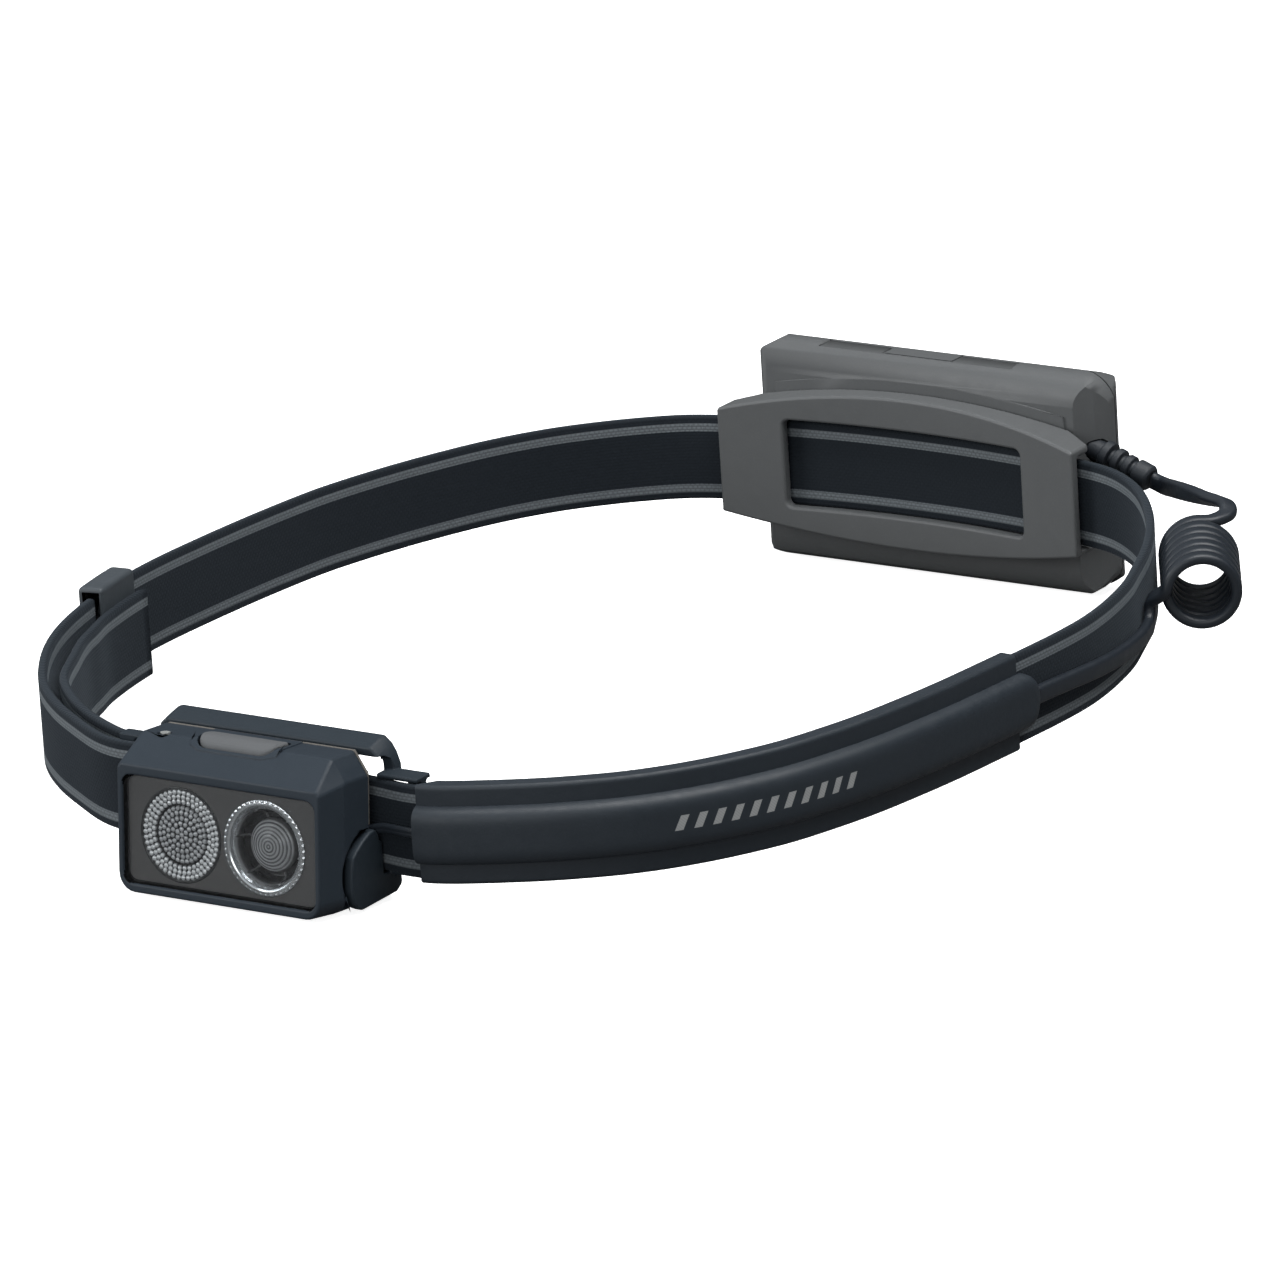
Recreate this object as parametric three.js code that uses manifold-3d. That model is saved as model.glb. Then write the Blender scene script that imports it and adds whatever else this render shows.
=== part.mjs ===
// Running headlamp: a tilting two-lens lamp head on a forehead bracket, a woven headband with a
// tri-glide slider, a cable sleeve, a coiled lead and a rear battery box for three AAA cells.
// Millimetres. +X is the wearer's left (cable side), -Y is forward (light), +Z is up.
// Pieces are laid out about the middle of the headband loop, at mid height of the band; ORIGIN
// is then taken off every vertex, so the part is centred on its bounding box.
import * as THREE from 'three';
import Module from 'manifold-3d';

const wasm = await Module();
wasm.setup();
const { Manifold, Mesh } = wasm;

// ---------------------------------------------------------------- shared dimensions
const GAP = 0.3;                    // running gap between neighbouring pieces
const ORIGIN = [3.36, 2.28, 0.15];  // layout point that becomes the part's origin
const SIDES = [1, -1];              // +X, then -X

// lamp head, before it leans back
const HEAD_HALF_W = 20.7, HEAD_FRONT_HALF_W = 19.35;
const HEAD_TOP = 12.5, HEAD_BOTTOM = -12.5, REAR_BOTTOM = -9.6;
const HEAD_FRONT_Y = -109.2, HEAD_REAR_Y = -97.55;
const HEAD_WALL = 1.6;
const REST_LEAN = 5.5;              // degrees the head leans back at rest
const PIVOT_Y = -97.6, PIVOT_Z = -6.4, PIN_R = 1.62, PIN_HOLE_R = 1.7;
const ARM_R = 6.5, ARM_IN = 19.6, ARM_OUT = 21.3;   // bracket arm: radius, x of its two faces

// lead
const BOOT_START = [34.8, 103.4, 6.3], BOOT_END = [44.0, 103.1, 2.9];   // strain relief axis

// rear unit
const BOX_Y0 = 100.2, BOX_Y1 = 114.3, BOX_Z0 = -19.4, BOX_Z1 = 19.7, BOX_HALF_W = 35.4;
const SEAM_Y = 107.2;               // parting plane of tray and cover
const FRAME_ZC = 0.7, FRAME_HALF_W = 35.8;
const FRAME_HALF_MID = 13.5, FRAME_HALF_END = 9.3;  // half heights at the middle and the ends
const FRAME_SCREWS = [[-21, 10.6], [21, 10.6], [-21, -9.9], [21, -9.9]];   // x, z
const FRAME_HOLE_R = 0.95;

// ---------------------------------------------------------------- materials
// colour, roughness, metalness
const FINISHES = {
  navy:     [0x2a3644, 0.55, 0.0],
  navyDark: [0x1b232d, 0.6, 0.0],
  webbing:  [0x18202a, 0.9, 0.0],
  sleeve:   [0x1a222d, 0.75, 0.0],
  greyBox:  [0x5f6163, 0.6, 0.0],
  greyBtn:  [0x55616a, 0.8, 0.0],
  pane:     [0xbfc6c8, 0.08, 0.0],
  mask:     [0x3a3634, 0.5, 0.0],
  optic:    [0xd9dde0, 0.15, 0.1],
  led:      [0xe8d25a, 0.4, 0.0],
  pcb:      [0x1d4a2c, 0.55, 0.0],
  alu:      [0xb4b7ba, 0.4, 0.9],
  steel:    [0xa6a9ad, 0.35, 1.0],
  gasket:   [0x8b857d, 0.8, 0.0],
  cable:    [0x20272f, 0.55, 0.0],
  foam:     [0x23282e, 0.95, 0.0],
  cell:     [0x3c6e9c, 0.35, 0.3],
  clear:    [0xe6ebee, 0.1, 0.0],
};
const makeMaterial = (finish) => {
  const [color, roughness, metalness] = FINISHES[finish];
  return new THREE.MeshStandardMaterial({ color, roughness, metalness });
};

// ---------------------------------------------------------------- vectors
const add = (...vectors) => vectors.reduce((a, b) => a.map((x, i) => x + b[i]));
const sub = (a, b) => a.map((x, i) => x - b[i]);
const scale = (a, k) => a.map((x) => x * k);
const dot = (a, b) => a[0] * b[0] + a[1] * b[1] + a[2] * b[2];
const cross = (a, b) => [
  a[1] * b[2] - a[2] * b[1],
  a[2] * b[0] - a[0] * b[2],
  a[0] * b[1] - a[1] * b[0],
];
const unit = (a) => scale(a, 1 / Math.hypot(...a));
const lerp = (a, b, t) => a.map((x, i) => x + (b[i] - x) * t);
const squareTo = (a, axis) => unit(sub(a, scale(axis, dot(a, axis))));
const smooth = (t) => t * t * (3 - 2 * t);
const radians = THREE.MathUtils.degToRad;

// ---------------------------------------------------------------- outlines
const circle = (cx, cy, r, n) => Array.from({ length: n }, (_, i) => {
  const angle = (i + 0.5) / n * Math.PI * 2;
  return [cx + r * Math.cos(angle), cy + r * Math.sin(angle)];
});
const rect = (x0, y0, x1, y1) => [[x0, y0], [x1, y0], [x1, y1], [x0, y1]];
// rounded rectangle; radius is one value, or four from (x1, y0) round by (x1, y1)
const roundRect = (x0, y0, x1, y1, radius, n = 5) => {
  const r = Array.isArray(radius) ? radius : [radius, radius, radius, radius];
  const corners = [
    [x1 - r[0], y0 + r[0]],
    [x1 - r[1], y1 - r[1]],
    [x0 + r[2], y1 - r[2]],
    [x0 + r[3], y0 + r[3]],
  ];
  return corners.flatMap(([cx, cy], k) => Array.from({ length: n + 1 }, (_, i) => {
    const angle = radians(90 * (k - 1) + 90 * i / n);
    return [cx + r[k] * Math.cos(angle), cy + r[k] * Math.sin(angle)];
  }));
};
// outline from its +x half, listed in order away from and back to x = 0
const mirrored = (half) => [...half, ...half.map(([x, y]) => [-x, y]).reverse()];
// n + 1 even positions from -half to half
const evenly = (half, n) => Array.from({ length: n + 1 }, (_, i) => -half + 2 * half * i / n);

// ---------------------------------------------------------------- solids
// welds a geometry's corners, each moved by place, into a solid that faces outwards
const toSolid = (geometry, place) => {
  const corners = (geometry.index ? geometry.toNonIndexed() : geometry).getAttribute('position');
  const known = new Map();
  const points = [];
  const ids = [];
  for (let i = 0; i < corners.count; i++) {
    const point = place([corners.getX(i), corners.getY(i), corners.getZ(i)]);
    const key = point.map((c) => Math.round(c * 1e4)).join(',');
    if (!known.has(key)) {
      known.set(key, points.length);
      points.push(point);
    }
    ids.push(known.get(key));
  }
  let faces = [];
  let volume = 0;
  for (let i = 0; i < ids.length; i += 3) {
    const [a, b, c] = ids.slice(i, i + 3);
    if (a === b || b === c || a === c) continue;
    faces.push([a, b, c]);
    volume += dot(points[a], cross(points[b], points[c]));
  }
  if (volume < 0) faces = faces.map(([a, b, c]) => [a, c, b]);
  return new Manifold(new Mesh({
    numProp: 3,
    vertProperties: new Float32Array(points.flat()),
    triVerts: new Uint32Array(faces.flat()),
  }));
};
const extrude = (outline, depth, steps, place) => {
  const shape = new THREE.Shape(outline.map(([x, y]) => new THREE.Vector2(x, y)));
  return toSolid(new THREE.ExtrudeGeometry(shape, { depth, bevelEnabled: false, steps }), place);
};
// outline in a named plane, extruded along the third axis from a to b
const PLANES = {
  xy: (u, v, w) => [u, v, w],
  xz: (u, v, w) => [u, w, v],
  yz: (u, v, w) => [w, u, v],
};
const prism = (plane, outline, a, b) =>
  extrude(outline, b - a, 1, ([u, v, w]) => PLANES[plane](u, v, w + a));
const box = (x0, x1, y0, y1, z0, z1) => prism('xy', rect(x0, y0, x1, y1), z0, z1);
// cylinder along an axis, centred on (p, q) in the other two
const cyl = (axis, p, q, r, a, b, n) =>
  prism({ x: 'yz', y: 'xz', z: 'xy' }[axis], circle(p, q, r, n), a, b);
// profile rows: radius, distance along the axis
const lathe = (profile, n, place) =>
  toSolid(new THREE.LatheGeometry(profile.map(([r, t]) => new THREE.Vector2(r, t)), n), place);
// section carried along stations { point, normal, binormal }
const sweep = (section, stations) => {
  const steps = stations.length - 1;
  return extrude(section, steps, steps, ([u, v, w]) => {
    const { point, normal, binormal } = stations[Math.round(w)];
    return add(point, scale(normal, u), scale(binormal, v));
  });
};
// x range of something that reaches from inner to outer on one side
const sideSpan = (side, inner, outer) => (side > 0 ? [inner, outer] : [-outer, -inner]);
const bothSides = (make) => make(1).add(make(-1));

// ---------------------------------------------------------------- placing pieces
const group = new THREE.Group();
const moveVertices = ({ numProp, vertProperties }, move) => {
  const moved = [];
  for (let i = 0; i < vertProperties.length; i += numProp) {
    moved.push(...move([vertProperties[i], vertProperties[i + 1], vertProperties[i + 2]]));
  }
  return new Float32Array(moved);
};
const put = (name, solid, finish) => {
  const source = solid.getMesh();
  const positions = moveVertices(source, (point) => sub(point, ORIGIN));
  const geometry = new THREE.BufferGeometry();
  geometry.setAttribute('position', new THREE.BufferAttribute(positions, 3));
  geometry.setIndex(new THREE.BufferAttribute(new Uint32Array(source.triVerts), 1));
  geometry.computeVertexNormals();
  const mesh = new THREE.Mesh(geometry, makeMaterial(finish));
  mesh.name = name;
  group.add(mesh);
};
// head pieces share the rest lean about the tilt pivot
const putHead = (name, solid, finish) => {
  const source = solid.getMesh();
  const cos = Math.cos(radians(-REST_LEAN));
  const sin = Math.sin(radians(-REST_LEAN));
  const vertProperties = moveVertices(source, ([x, py, pz]) => {
    const y = py - PIVOT_Y;
    const z = pz - PIVOT_Z;
    return [x, PIVOT_Y + y * cos - z * sin, PIVOT_Z + y * sin + z * cos];
  });
  const leaned = new Mesh({ numProp: 3, vertProperties, triVerts: source.triVerts });
  put(name, new Manifold(leaned), finish);
};

// ---------------------------------------------------------------- headband path
const BAND_W = 15.0, BAND_T = 1.5;  // webbing width and thickness
const BAND_STEP = 2.6;              // spacing of webbing stations
// middle of the outer layer in plan, from the bracket round by +X: x, y
const BAND_PATH = [
  [-18, -92.65], [-8, -92.65], [4, -92.65], [15, -92.65], [20.5, -93.1], [25, -93.85],
  [28.5, -93.95], [31.8, -93.2], [37.6, -90.5], [45.9, -85.7], [51.1, -82], [56, -77.9],
  [60.4, -73.2], [64.4, -67.8], [68, -61.7], [71.2, -55], [73.7, -47.2], [75.9, -38.5],
  [77.5, -29], [78.8, -19], [79.7, -8.4], [80.5, 2.4], [81.0, 12], [80.9, 20.6], [79.6, 30],
  [77.2, 39.8], [74.3, 47.6], [71.3, 55.2], [68.0, 62.3], [63.6, 70.2], [58.5, 77.8],
  [53.5, 84], [49, 88.4], [44.3, 91.9], [40, 94.0], [33, 95.7], [22, 97.35], [11, 98.4],
  [0, 98.7], [-11, 98.4], [-22, 97.35], [-33, 95.7], [-39.5, 94.1], [-44.4, 91.9],
  [-49.8, 88], [-55, 83.3], [-59.9, 77.9], [-64.1, 71.8], [-67.7, 65.1], [-70.8, 57.7],
  [-73.7, 49.6], [-76.1, 41.3], [-78.2, 32], [-79.4, 22], [-80.2, 11.5], [-80.7, 0],
  [-80.8, -12], [-80, -23], [-78, -34.5], [-74.7, -46.4], [-70.8, -55.6], [-65.6, -64.6],
  [-58.6, -74], [-50.4, -81.6], [-42.2, -87.4], [-34, -92.4], [-29.5, -93.9], [-26.6, -94.0],
];
const smoothCurve = (points) => new THREE.CatmullRomCurve3(
  points.map(([x, y, z = 0]) => new THREE.Vector3(x, y, z)), false, 'centripetal');
const bandCurve = smoothCurve(BAND_PATH);
bandCurve.arcLengthDivisions = 4000;
const BAND_LENGTH = bandCurve.getLength();

// the path at distance s along it; the normal points away from the head
const bandAt = (s) => {
  const u = THREE.MathUtils.clamp(s / BAND_LENGTH, 0, 1);
  const point = bandCurve.getPointAt(u);
  const tangent = bandCurve.getTangentAt(u);
  return {
    point: [point.x, point.y, 0],
    tangent: [tangent.x, tangent.y, 0],
    normal: [tangent.y, -tangent.x, 0],
  };
};
const bandOffset = (s, offset) => {
  const { point, normal } = bandAt(s);
  return [point[0] + normal[0] * offset, point[1] + normal[1] * offset];
};
const bandStation = (s, offset, z) => ({
  point: [...bandOffset(s, offset), z],
  normal: bandAt(s).normal,
  binormal: [0, 0, 1],
});
// distance along the band of the place nearest to a plan point
const bandDistance = (x, y) => {
  let nearest = 1e9;
  let found = 0;
  for (let s = 0; s <= BAND_LENGTH; s += 0.25) {
    const { point } = bandAt(s);
    const distance = Math.hypot(point[0] - x, point[1] - y);
    if (distance < nearest) {
      nearest = distance;
      found = s;
    }
  }
  return found;
};
const SLEEVE_START = bandDistance(28.9, -94), SLEEVE_END = bandDistance(80.4, 0.6);
const BULGE_END = bandDistance(80.8, 4.4);
const SLIDER_AT = bandDistance(-79.3, -28.5), SEWN_END = bandDistance(-80.5, -19.6);

// solid that follows the band from s0 to s1, between two offsets from it
const alongBand = (s0, s1, offset0, offset1, step, z0, z1) => {
  const n = Math.max(2, Math.round((s1 - s0) / step));
  const side = (offset) =>
    Array.from({ length: n + 1 }, (_, i) => bandOffset(s0 + (s1 - s0) * i / n, offset));
  return prism('xy', [...side(offset0), ...side(offset1).reverse()], z0, z1);
};

// ---------------------------------------------------------------- headband webbing
const FOLD_R = 2.0;                 // fold round the bracket's -X bar
const TAIL_DROP = 2.0;              // inner layer hangs lower at its sewn end
// inner layer: fraction from the fold to the sewn end, offset inside the outer layer
const INNER_OFFSETS = [
  [0, 4.0], [0.05, 3.75], [0.2, 2.9], [0.42, 3.4], [0.6, 4.5], [0.74, 4.2], [0.86, 3.3], [1, 3.3],
];
const innerOffset = (f) => {
  const i = Math.max(1, INNER_OFFSETS.findIndex(([end]) => f <= end));
  const [f0, offset0] = INNER_OFFSETS[i - 1];
  const [f1, offset1] = INNER_OFFSETS[i];
  return offset0 + (offset1 - offset0) * smooth((f - f0) / (f1 - f0));
};
// middle line of the webbing: x, y, lift
const strapLine = () => {
  const line = [];
  const outerCount = Math.round(BAND_LENGTH / BAND_STEP);
  for (let i = 0; i <= outerCount; i++) {
    line.push([...bandOffset(BAND_LENGTH * i / outerCount, 0), 0]);
  }
  const [foldX, foldY] = BAND_PATH.at(-1);
  for (let i = 1; i <= 11; i++) {
    const angle = radians(-90 + 180 * i / 12);
    line.push([foldX + FOLD_R * Math.cos(angle), foldY + FOLD_R + FOLD_R * Math.sin(angle), 0]);
  }
  const innerCount = Math.round((BAND_LENGTH - SEWN_END) / BAND_STEP);
  for (let i = 0; i <= innerCount; i++) {
    const f = i / innerCount;
    const s = BAND_LENGTH + (SEWN_END - BAND_LENGTH) * f;
    const dropped = THREE.MathUtils.clamp((f - 0.25) / 0.6, 0, 1) ** 1.3;
    line.push([...bandOffset(s, -innerOffset(f)), -TAIL_DROP * dropped]);
  }
  return line;
};
const headStrap = () => {
  const line = strapLine();
  const outer = [];
  const inner = [];
  const lifts = new Map();
  const keyOf = (x, y) => `${x.toFixed(3)},${y.toFixed(3)}`;
  line.forEach(([x, y, lift], i) => {
    const before = line[Math.max(0, i - 1)];
    const after = line[Math.min(line.length - 1, i + 1)];
    const dx = after[0] - before[0];
    const dy = after[1] - before[1];
    const half = BAND_T / 2 / Math.hypot(dx, dy);
    for (const [edge, sign] of [[outer, 1], [inner, -1]]) {
      const point = [x + sign * dy * half, y - sign * dx * half];
      edge.push(point);
      lifts.set(keyOf(...point), lift);
    }
  });
  // a corner whose rounded key misses the table stays at band height
  return extrude([...outer, ...inner.reverse()], BAND_W, 1,
    ([x, y, z]) => [x, y, z - BAND_W / 2 + (lifts.get(keyOf(x, y)) ?? 0)]);
};
put('head_strap', headStrap(), 'webbing');

// tri-glide slider: closed loop round the outer layer, its outer face open between two bars
const strapSlider = () => {
  const part = (reach, offset0, offset1, half) =>
    alongBand(SLIDER_AT - reach, SLIDER_AT + reach, offset0, offset1, 1.55, -half, half);
  return part(6.2, -2.25, 2.35, 9.3)
    .subtract(part(7.2, -1.1, 1.1, 7.85))
    .subtract(part(3.4, 0.9, 3.0, 7.2));
};
put('strap_slider', strapSlider(), 'navy');

// ---------------------------------------------------------------- cable sleeve on the band
// corner cut off the raised bulge's far end: along the band, height
const BULGE_CORNER = [[-4.2, 5.2], [0.8, 5.2], [0.8, 2.6], [-0.4, 3.5], [-1.9, 4.45]];
const cableSleeve = () => {
  const part = (s0, s1, offset0, offset1, half) =>
    alongBand(s0, s1, offset0, offset1, 2.2, -half, half);
  let sleeve = part(SLEEVE_START, SLEEVE_END, -1.65, 1.65, 8.1)
    .add(part(SLEEVE_START, BULGE_END, 1.2, 3.75, 4.9))
    .subtract(part(SLEEVE_START - 1, BULGE_END + 1, -1.1, 1.1, 7.8))   // webbing passage
    .subtract(part(SLEEVE_START - 1, BULGE_END + 1, 1.0, 3.2, 2.4));   // lead passage
  // the inner wall starts clear of the bracket's side bar
  sleeve = sleeve.subtract(box(27, 31.2, -93.2, -88, -9, 9));
  const { point, tangent, normal } = bandAt(BULGE_END);
  for (const side of SIDES) {
    const corner = BULGE_CORNER.map(([along, height]) => [along, side * height]);
    sleeve = sleeve.subtract(extrude(corner, 3.0, 1, ([u, v, w]) =>
      add(point, scale(tangent, u), [0, 0, v], scale(normal, w + 1.75))));
  }
  return sleeve;
};
put('cable_sleeve', cableSleeve(), 'sleeve');

// ---------------------------------------------------------------- coiled lead
const RIBBON_W = 3.0, RIBBON_T = 1.8;
const RIBBON_OFFSET = BAND_T / 2 + GAP + RIBBON_T / 2 + 0.05;   // ribbon middle off the band
const RISER_START = bandDistance(75.3, 45.4), RISER_R = 3.0;
const COIL_R = 5.8, COIL_TURNS = 6, COIL_LENGTH = 21.0;
const COIL_START = [83.3, 53.2, 2.6];
const COIL_AXIS = unit([-0.53, 0.85, 0]);                     // near end to far end
const COIL_OUT = unit([COIL_AXIS[1], -COIL_AXIS[0], 0]);      // away from the head
// coil angles run from COIL_OUT towards up; the coil starts inside and leaves at the top
const COIL_ANGLE0 = Math.PI * 0.93;
const COIL_ANGLE1 = COIL_ANGLE0 - 2 * Math.PI * COIL_TURNS - Math.PI * 0.43;
const BOOT_DIR = unit(sub(BOOT_END, BOOT_START));

const coilRadial = (angle) => add(scale(COIL_OUT, Math.cos(angle)), [0, 0, Math.sin(angle)]);
const coilHeading = (angle) => add(scale(COIL_OUT, Math.sin(angle)), [0, 0, -Math.cos(angle)]);
const coilStation = (f, angle) => {
  const radial = coilRadial(angle);
  const centre = add(COIL_START, scale(COIL_AXIS, COIL_LENGTH * f - 1));
  return { point: add(centre, scale(radial, COIL_R)), normal: scale(radial, -1) };
};
// inside the sleeve, along the band's outer face, then an upward turn against the band
const coilFeed = () => {
  const stations = [];
  const start = SLEEVE_END - 45;
  for (let i = 0; i <= 26; i++) {
    const s = start + (RISER_START - start) * i / 26;
    const f = THREE.MathUtils.clamp((s - BULGE_END) / (RISER_START - BULGE_END), 0, 1);
    stations.push(bandStation(s, RIBBON_OFFSET, -2.4 * smooth(f)));
  }
  const startZ = stations.at(-1).point[2];
  for (let i = 1; i <= 8; i++) {
    const angle = i / 8 * Math.PI / 2;
    const z = startZ + RISER_R * (1 - Math.cos(angle));
    stations.push(bandStation(RISER_START + RISER_R * Math.sin(angle), RIBBON_OFFSET, z));
  }
  return stations;
};
// Hermite blend from the riser, heading up, to the coil's first turn
const coilEntry = (from) => {
  const to = coilStation(0, COIL_ANGLE0);
  const reach = Math.hypot(...sub(to.point, from.point));
  return Array.from({ length: 7 }, (_, i) => {
    const t = (i + 1) / 8;
    const point = add(
      scale(from.point, 2 * t ** 3 - 3 * t ** 2 + 1),
      [0, 0, (t ** 3 - 2 * t ** 2 + t) * reach],
      scale(to.point, -2 * t ** 3 + 3 * t ** 2),
      scale(coilHeading(COIL_ANGLE0), (t ** 3 - t ** 2) * reach),
    );
    return { point, normal: unit(lerp(from.normal, to.normal, t)) };
  });
};
const coilTurns = () => {
  const n = 22 * COIL_TURNS;
  return Array.from({ length: n + 1 }, (_, i) =>
    coilStation(i / n, COIL_ANGLE0 + (COIL_ANGLE1 - COIL_ANGLE0) * i / n));
};
// off the top of the far turn, round a wide bend and across to the box
const coilExit = (far) => {
  const beyond = (out, along, up) =>
    add(far.point, scale(COIL_OUT, out), scale(COIL_AXIS, along), [0, 0, up]);
  const curve = smoothCurve([
    far.point,
    add(far.point, scale(coilHeading(COIL_ANGLE1), 2.5)),
    beyond(5.0, 2.0, 0.4),
    beyond(5.0, 5.2, 1.1),
    [68.5, 80.4, 9.0],
    [60.0, 87.6, 7.0],
    [52.2, 96.4, 4.2],
    add(BOOT_END, scale(BOOT_DIR, 2.4), [0.2, -0.3, 0.2]),
    add(BOOT_END, scale(BOOT_DIR, 0.35)),
  ]);
  const sideways = unit([-0.62, -0.72, 0.1]);
  return Array.from({ length: 34 }, (_, i) => {
    const u = (i + 1) / 34;
    // the ribbon face turns from the coil's radial direction to facing sideways
    const facing = unit(lerp(far.normal, sideways, Math.min(1, u * 1.6)));
    return {
      point: curve.getPointAt(u).toArray(),
      normal: squareTo(facing, curve.getTangentAt(u).toArray()),
    };
  });
};
// squares each station to the path and keeps the section from flipping
const alignStations = (stations) => {
  stations.forEach((station, i) => {
    const before = stations[Math.max(0, i - 1)];
    const after = stations[Math.min(stations.length - 1, i + 1)];
    const tangent = unit(sub(after.point, before.point));
    let normal = squareTo(station.normal, tangent);
    if (i && dot(normal, before.normal) < 0) normal = scale(normal, -1);
    station.normal = normal;
    station.binormal = cross(tangent, normal);
  });
  return stations;
};
const coilCable = () => {
  const feed = coilFeed();
  const turns = coilTurns();
  const stations = [...feed, ...coilEntry(feed.at(-1)), ...turns, ...coilExit(turns.at(-1))];
  const section = roundRect(-RIBBON_T / 2, -RIBBON_W / 2, RIBBON_T / 2, RIBBON_W / 2, 0.6, 1);
  return sweep(section, alignStations(stations));
};
put('coil_cable', coilCable(), 'cable');

// thin flat lead on the band's outer face, from behind the lamp head into the sleeve
const LAMP_LEAD_T = 0.8, LAMP_LEAD_W = 1.6;
const lampLead = () => {
  const s0 = bandDistance(15.5, -92.65);
  const s1 = SLEEVE_START + 14;
  const offset = BAND_T / 2 + 0.17 + LAMP_LEAD_T / 2;
  const stations = Array.from({ length: 17 }, (_, i) =>
    bandStation(s0 + (s1 - s0) * i / 16, offset, i < 3 ? -0.9 + 0.3 * i : 0));
  const [halfT, halfW] = [LAMP_LEAD_T / 2, LAMP_LEAD_W / 2];
  return sweep(roundRect(-halfT, -halfW, halfT, halfW, 0.3, 1), stations);
};
put('lamp_lead', lampLead(), 'cable');

// segmented strain relief at the box end
const BOOT_LENGTH = Math.hypot(...sub(BOOT_END, BOOT_START));
// radius, distance from BOOT_START
const BOOT_PROFILE = [
  [0, -3.0], [1.9, -3.0], [1.9, -0.2], [2.6, 0.0], [2.6, 1.4], [1.5, 1.5], [1.5, 2.3],
  [2.35, 2.4], [2.35, 3.6], [1.5, 3.7], [1.5, 4.5], [2.2, 4.6], [2.2, 5.8], [1.5, 5.9],
  [1.5, 6.7], [2.35, 6.8], [2.35, BOOT_LENGTH - 0.5], [1.9, BOOT_LENGTH], [0, BOOT_LENGTH],
];
// lays a piece made round the y axis along the strain relief axis
const onBootAxis = (shift) => {
  const across = unit(cross(BOOT_DIR, [0, 1, 0]));
  const other = cross(BOOT_DIR, across);
  return ([x, y, z]) =>
    add(BOOT_START, scale(BOOT_DIR, y + shift), scale(across, x), scale(other, z));
};
put('box_strain_relief', lathe(BOOT_PROFILE, 20, onBootAxis(0)), 'cable');

// ---------------------------------------------------------------- lamp housing
const FOLD_Z = 8.2;                                 // top of the front face
const CHAMFER_Y = -104.0, CHAMFER_Z = 12.2;         // upper end of the sloping face
const CREST_Y = -103.4;                             // front edge of the flat top
const WIN_HALF_W = 18.4, WIN_TOP = 6.55, WIN_BOTTOM = -11.0, WIN_R = 1.8;
const POCKET_R = ARM_R + 0.35;
const COVER_SCREW_X = 15.6, COVER_SCREW_Z = 8.3, COVER_HOLE_R = 1.1;
const PIPE_X = -14.3, PIPE_Y = -103.0;
const BUTTON_REAR = 7.7, BUTTON_FRONT = 6.2, BUTTON_Y0 = -104.9, BUTTON_Y1 = -99.7;
// y, half width, top, width and height of the clipped upper corner, lower corner radius
const HEAD_SECTIONS = [
  [HEAD_FRONT_Y, HEAD_FRONT_HALF_W, FOLD_Z, 0.5, 0.6, 3.0],
  [CHAMFER_Y, HEAD_HALF_W, CHAMFER_Z, 2.6, 3.5, 3.3],
  [CREST_Y, HEAD_HALF_W, HEAD_TOP, 2.5, 3.6, 3.3],
  [HEAD_REAR_Y, HEAD_HALF_W, HEAD_TOP, 2.5, 3.6, 3.3],
];
// outlines of cavity and screw posts seen from the side: y, z
const CAVITY_SIDE = [
  [HEAD_FRONT_Y + HEAD_WALL, -10.9], [HEAD_FRONT_Y + HEAD_WALL, 7.3], [-103.1, 10.8],
  [-94, 10.9], [-94, -7.6], [-97.6, -7.9], [-101.0, HEAD_BOTTOM + HEAD_WALL],
];
const POST_SIDE = [
  [-107.2, 5], [-107.2, 8.2], [-103.6, 11.2], [HEAD_REAR_Y, 11.2], [HEAD_REAR_Y, 5],
];
// moulded ledge round the button: x, y in plan, then y, z from the side
const LEDGE_PLAN = [
  [-8.5, -103.2], [-8.3, -104.9], [-6.1, -105.6], [5.9, -105.6],
  [8.3, -104.9], [8.5, -103.2], [8.5, -95], [-8.5, -95],
];
const LEDGE_H = 0.22;
const LEDGE_SIDE = [
  [HEAD_FRONT_Y, FOLD_Z - 1], [HEAD_FRONT_Y, FOLD_Z + LEDGE_H],
  [CHAMFER_Y, CHAMFER_Z + LEDGE_H * 1.26], [CREST_Y, HEAD_TOP + LEDGE_H],
  [HEAD_REAR_Y, HEAD_TOP + LEDGE_H], [HEAD_REAR_Y, HEAD_TOP - 1.2], [-103.6, HEAD_TOP - 1.4],
];

const coverScrewCyls = (radius, y0, y1, n) =>
  bothSides((side) => cyl('y', side * COVER_SCREW_X, COVER_SCREW_Z, radius, y0, y1, n));
const pivotCyl = (radius, side, inner, outer, n) =>
  cyl('x', PIVOT_Y, PIVOT_Z, radius, ...sideSpan(side, inner, outer), n);
const headSection = ([y, halfW, top, clipX, clipZ, r]) => {
  const half = [];
  for (let i = 0; i <= 6; i++) {
    const angle = i / 6 * Math.PI / 2;
    half.push([halfW - r + r * Math.sin(angle), y, HEAD_BOTTOM + r - r * Math.cos(angle)]);
  }
  half.push([halfW, y, top - clipZ], [halfW - clipX, y, top]);
  return SIDES.flatMap((side) => half.map(([x, py, z]) => [side * x, py, z]));
};
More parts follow.
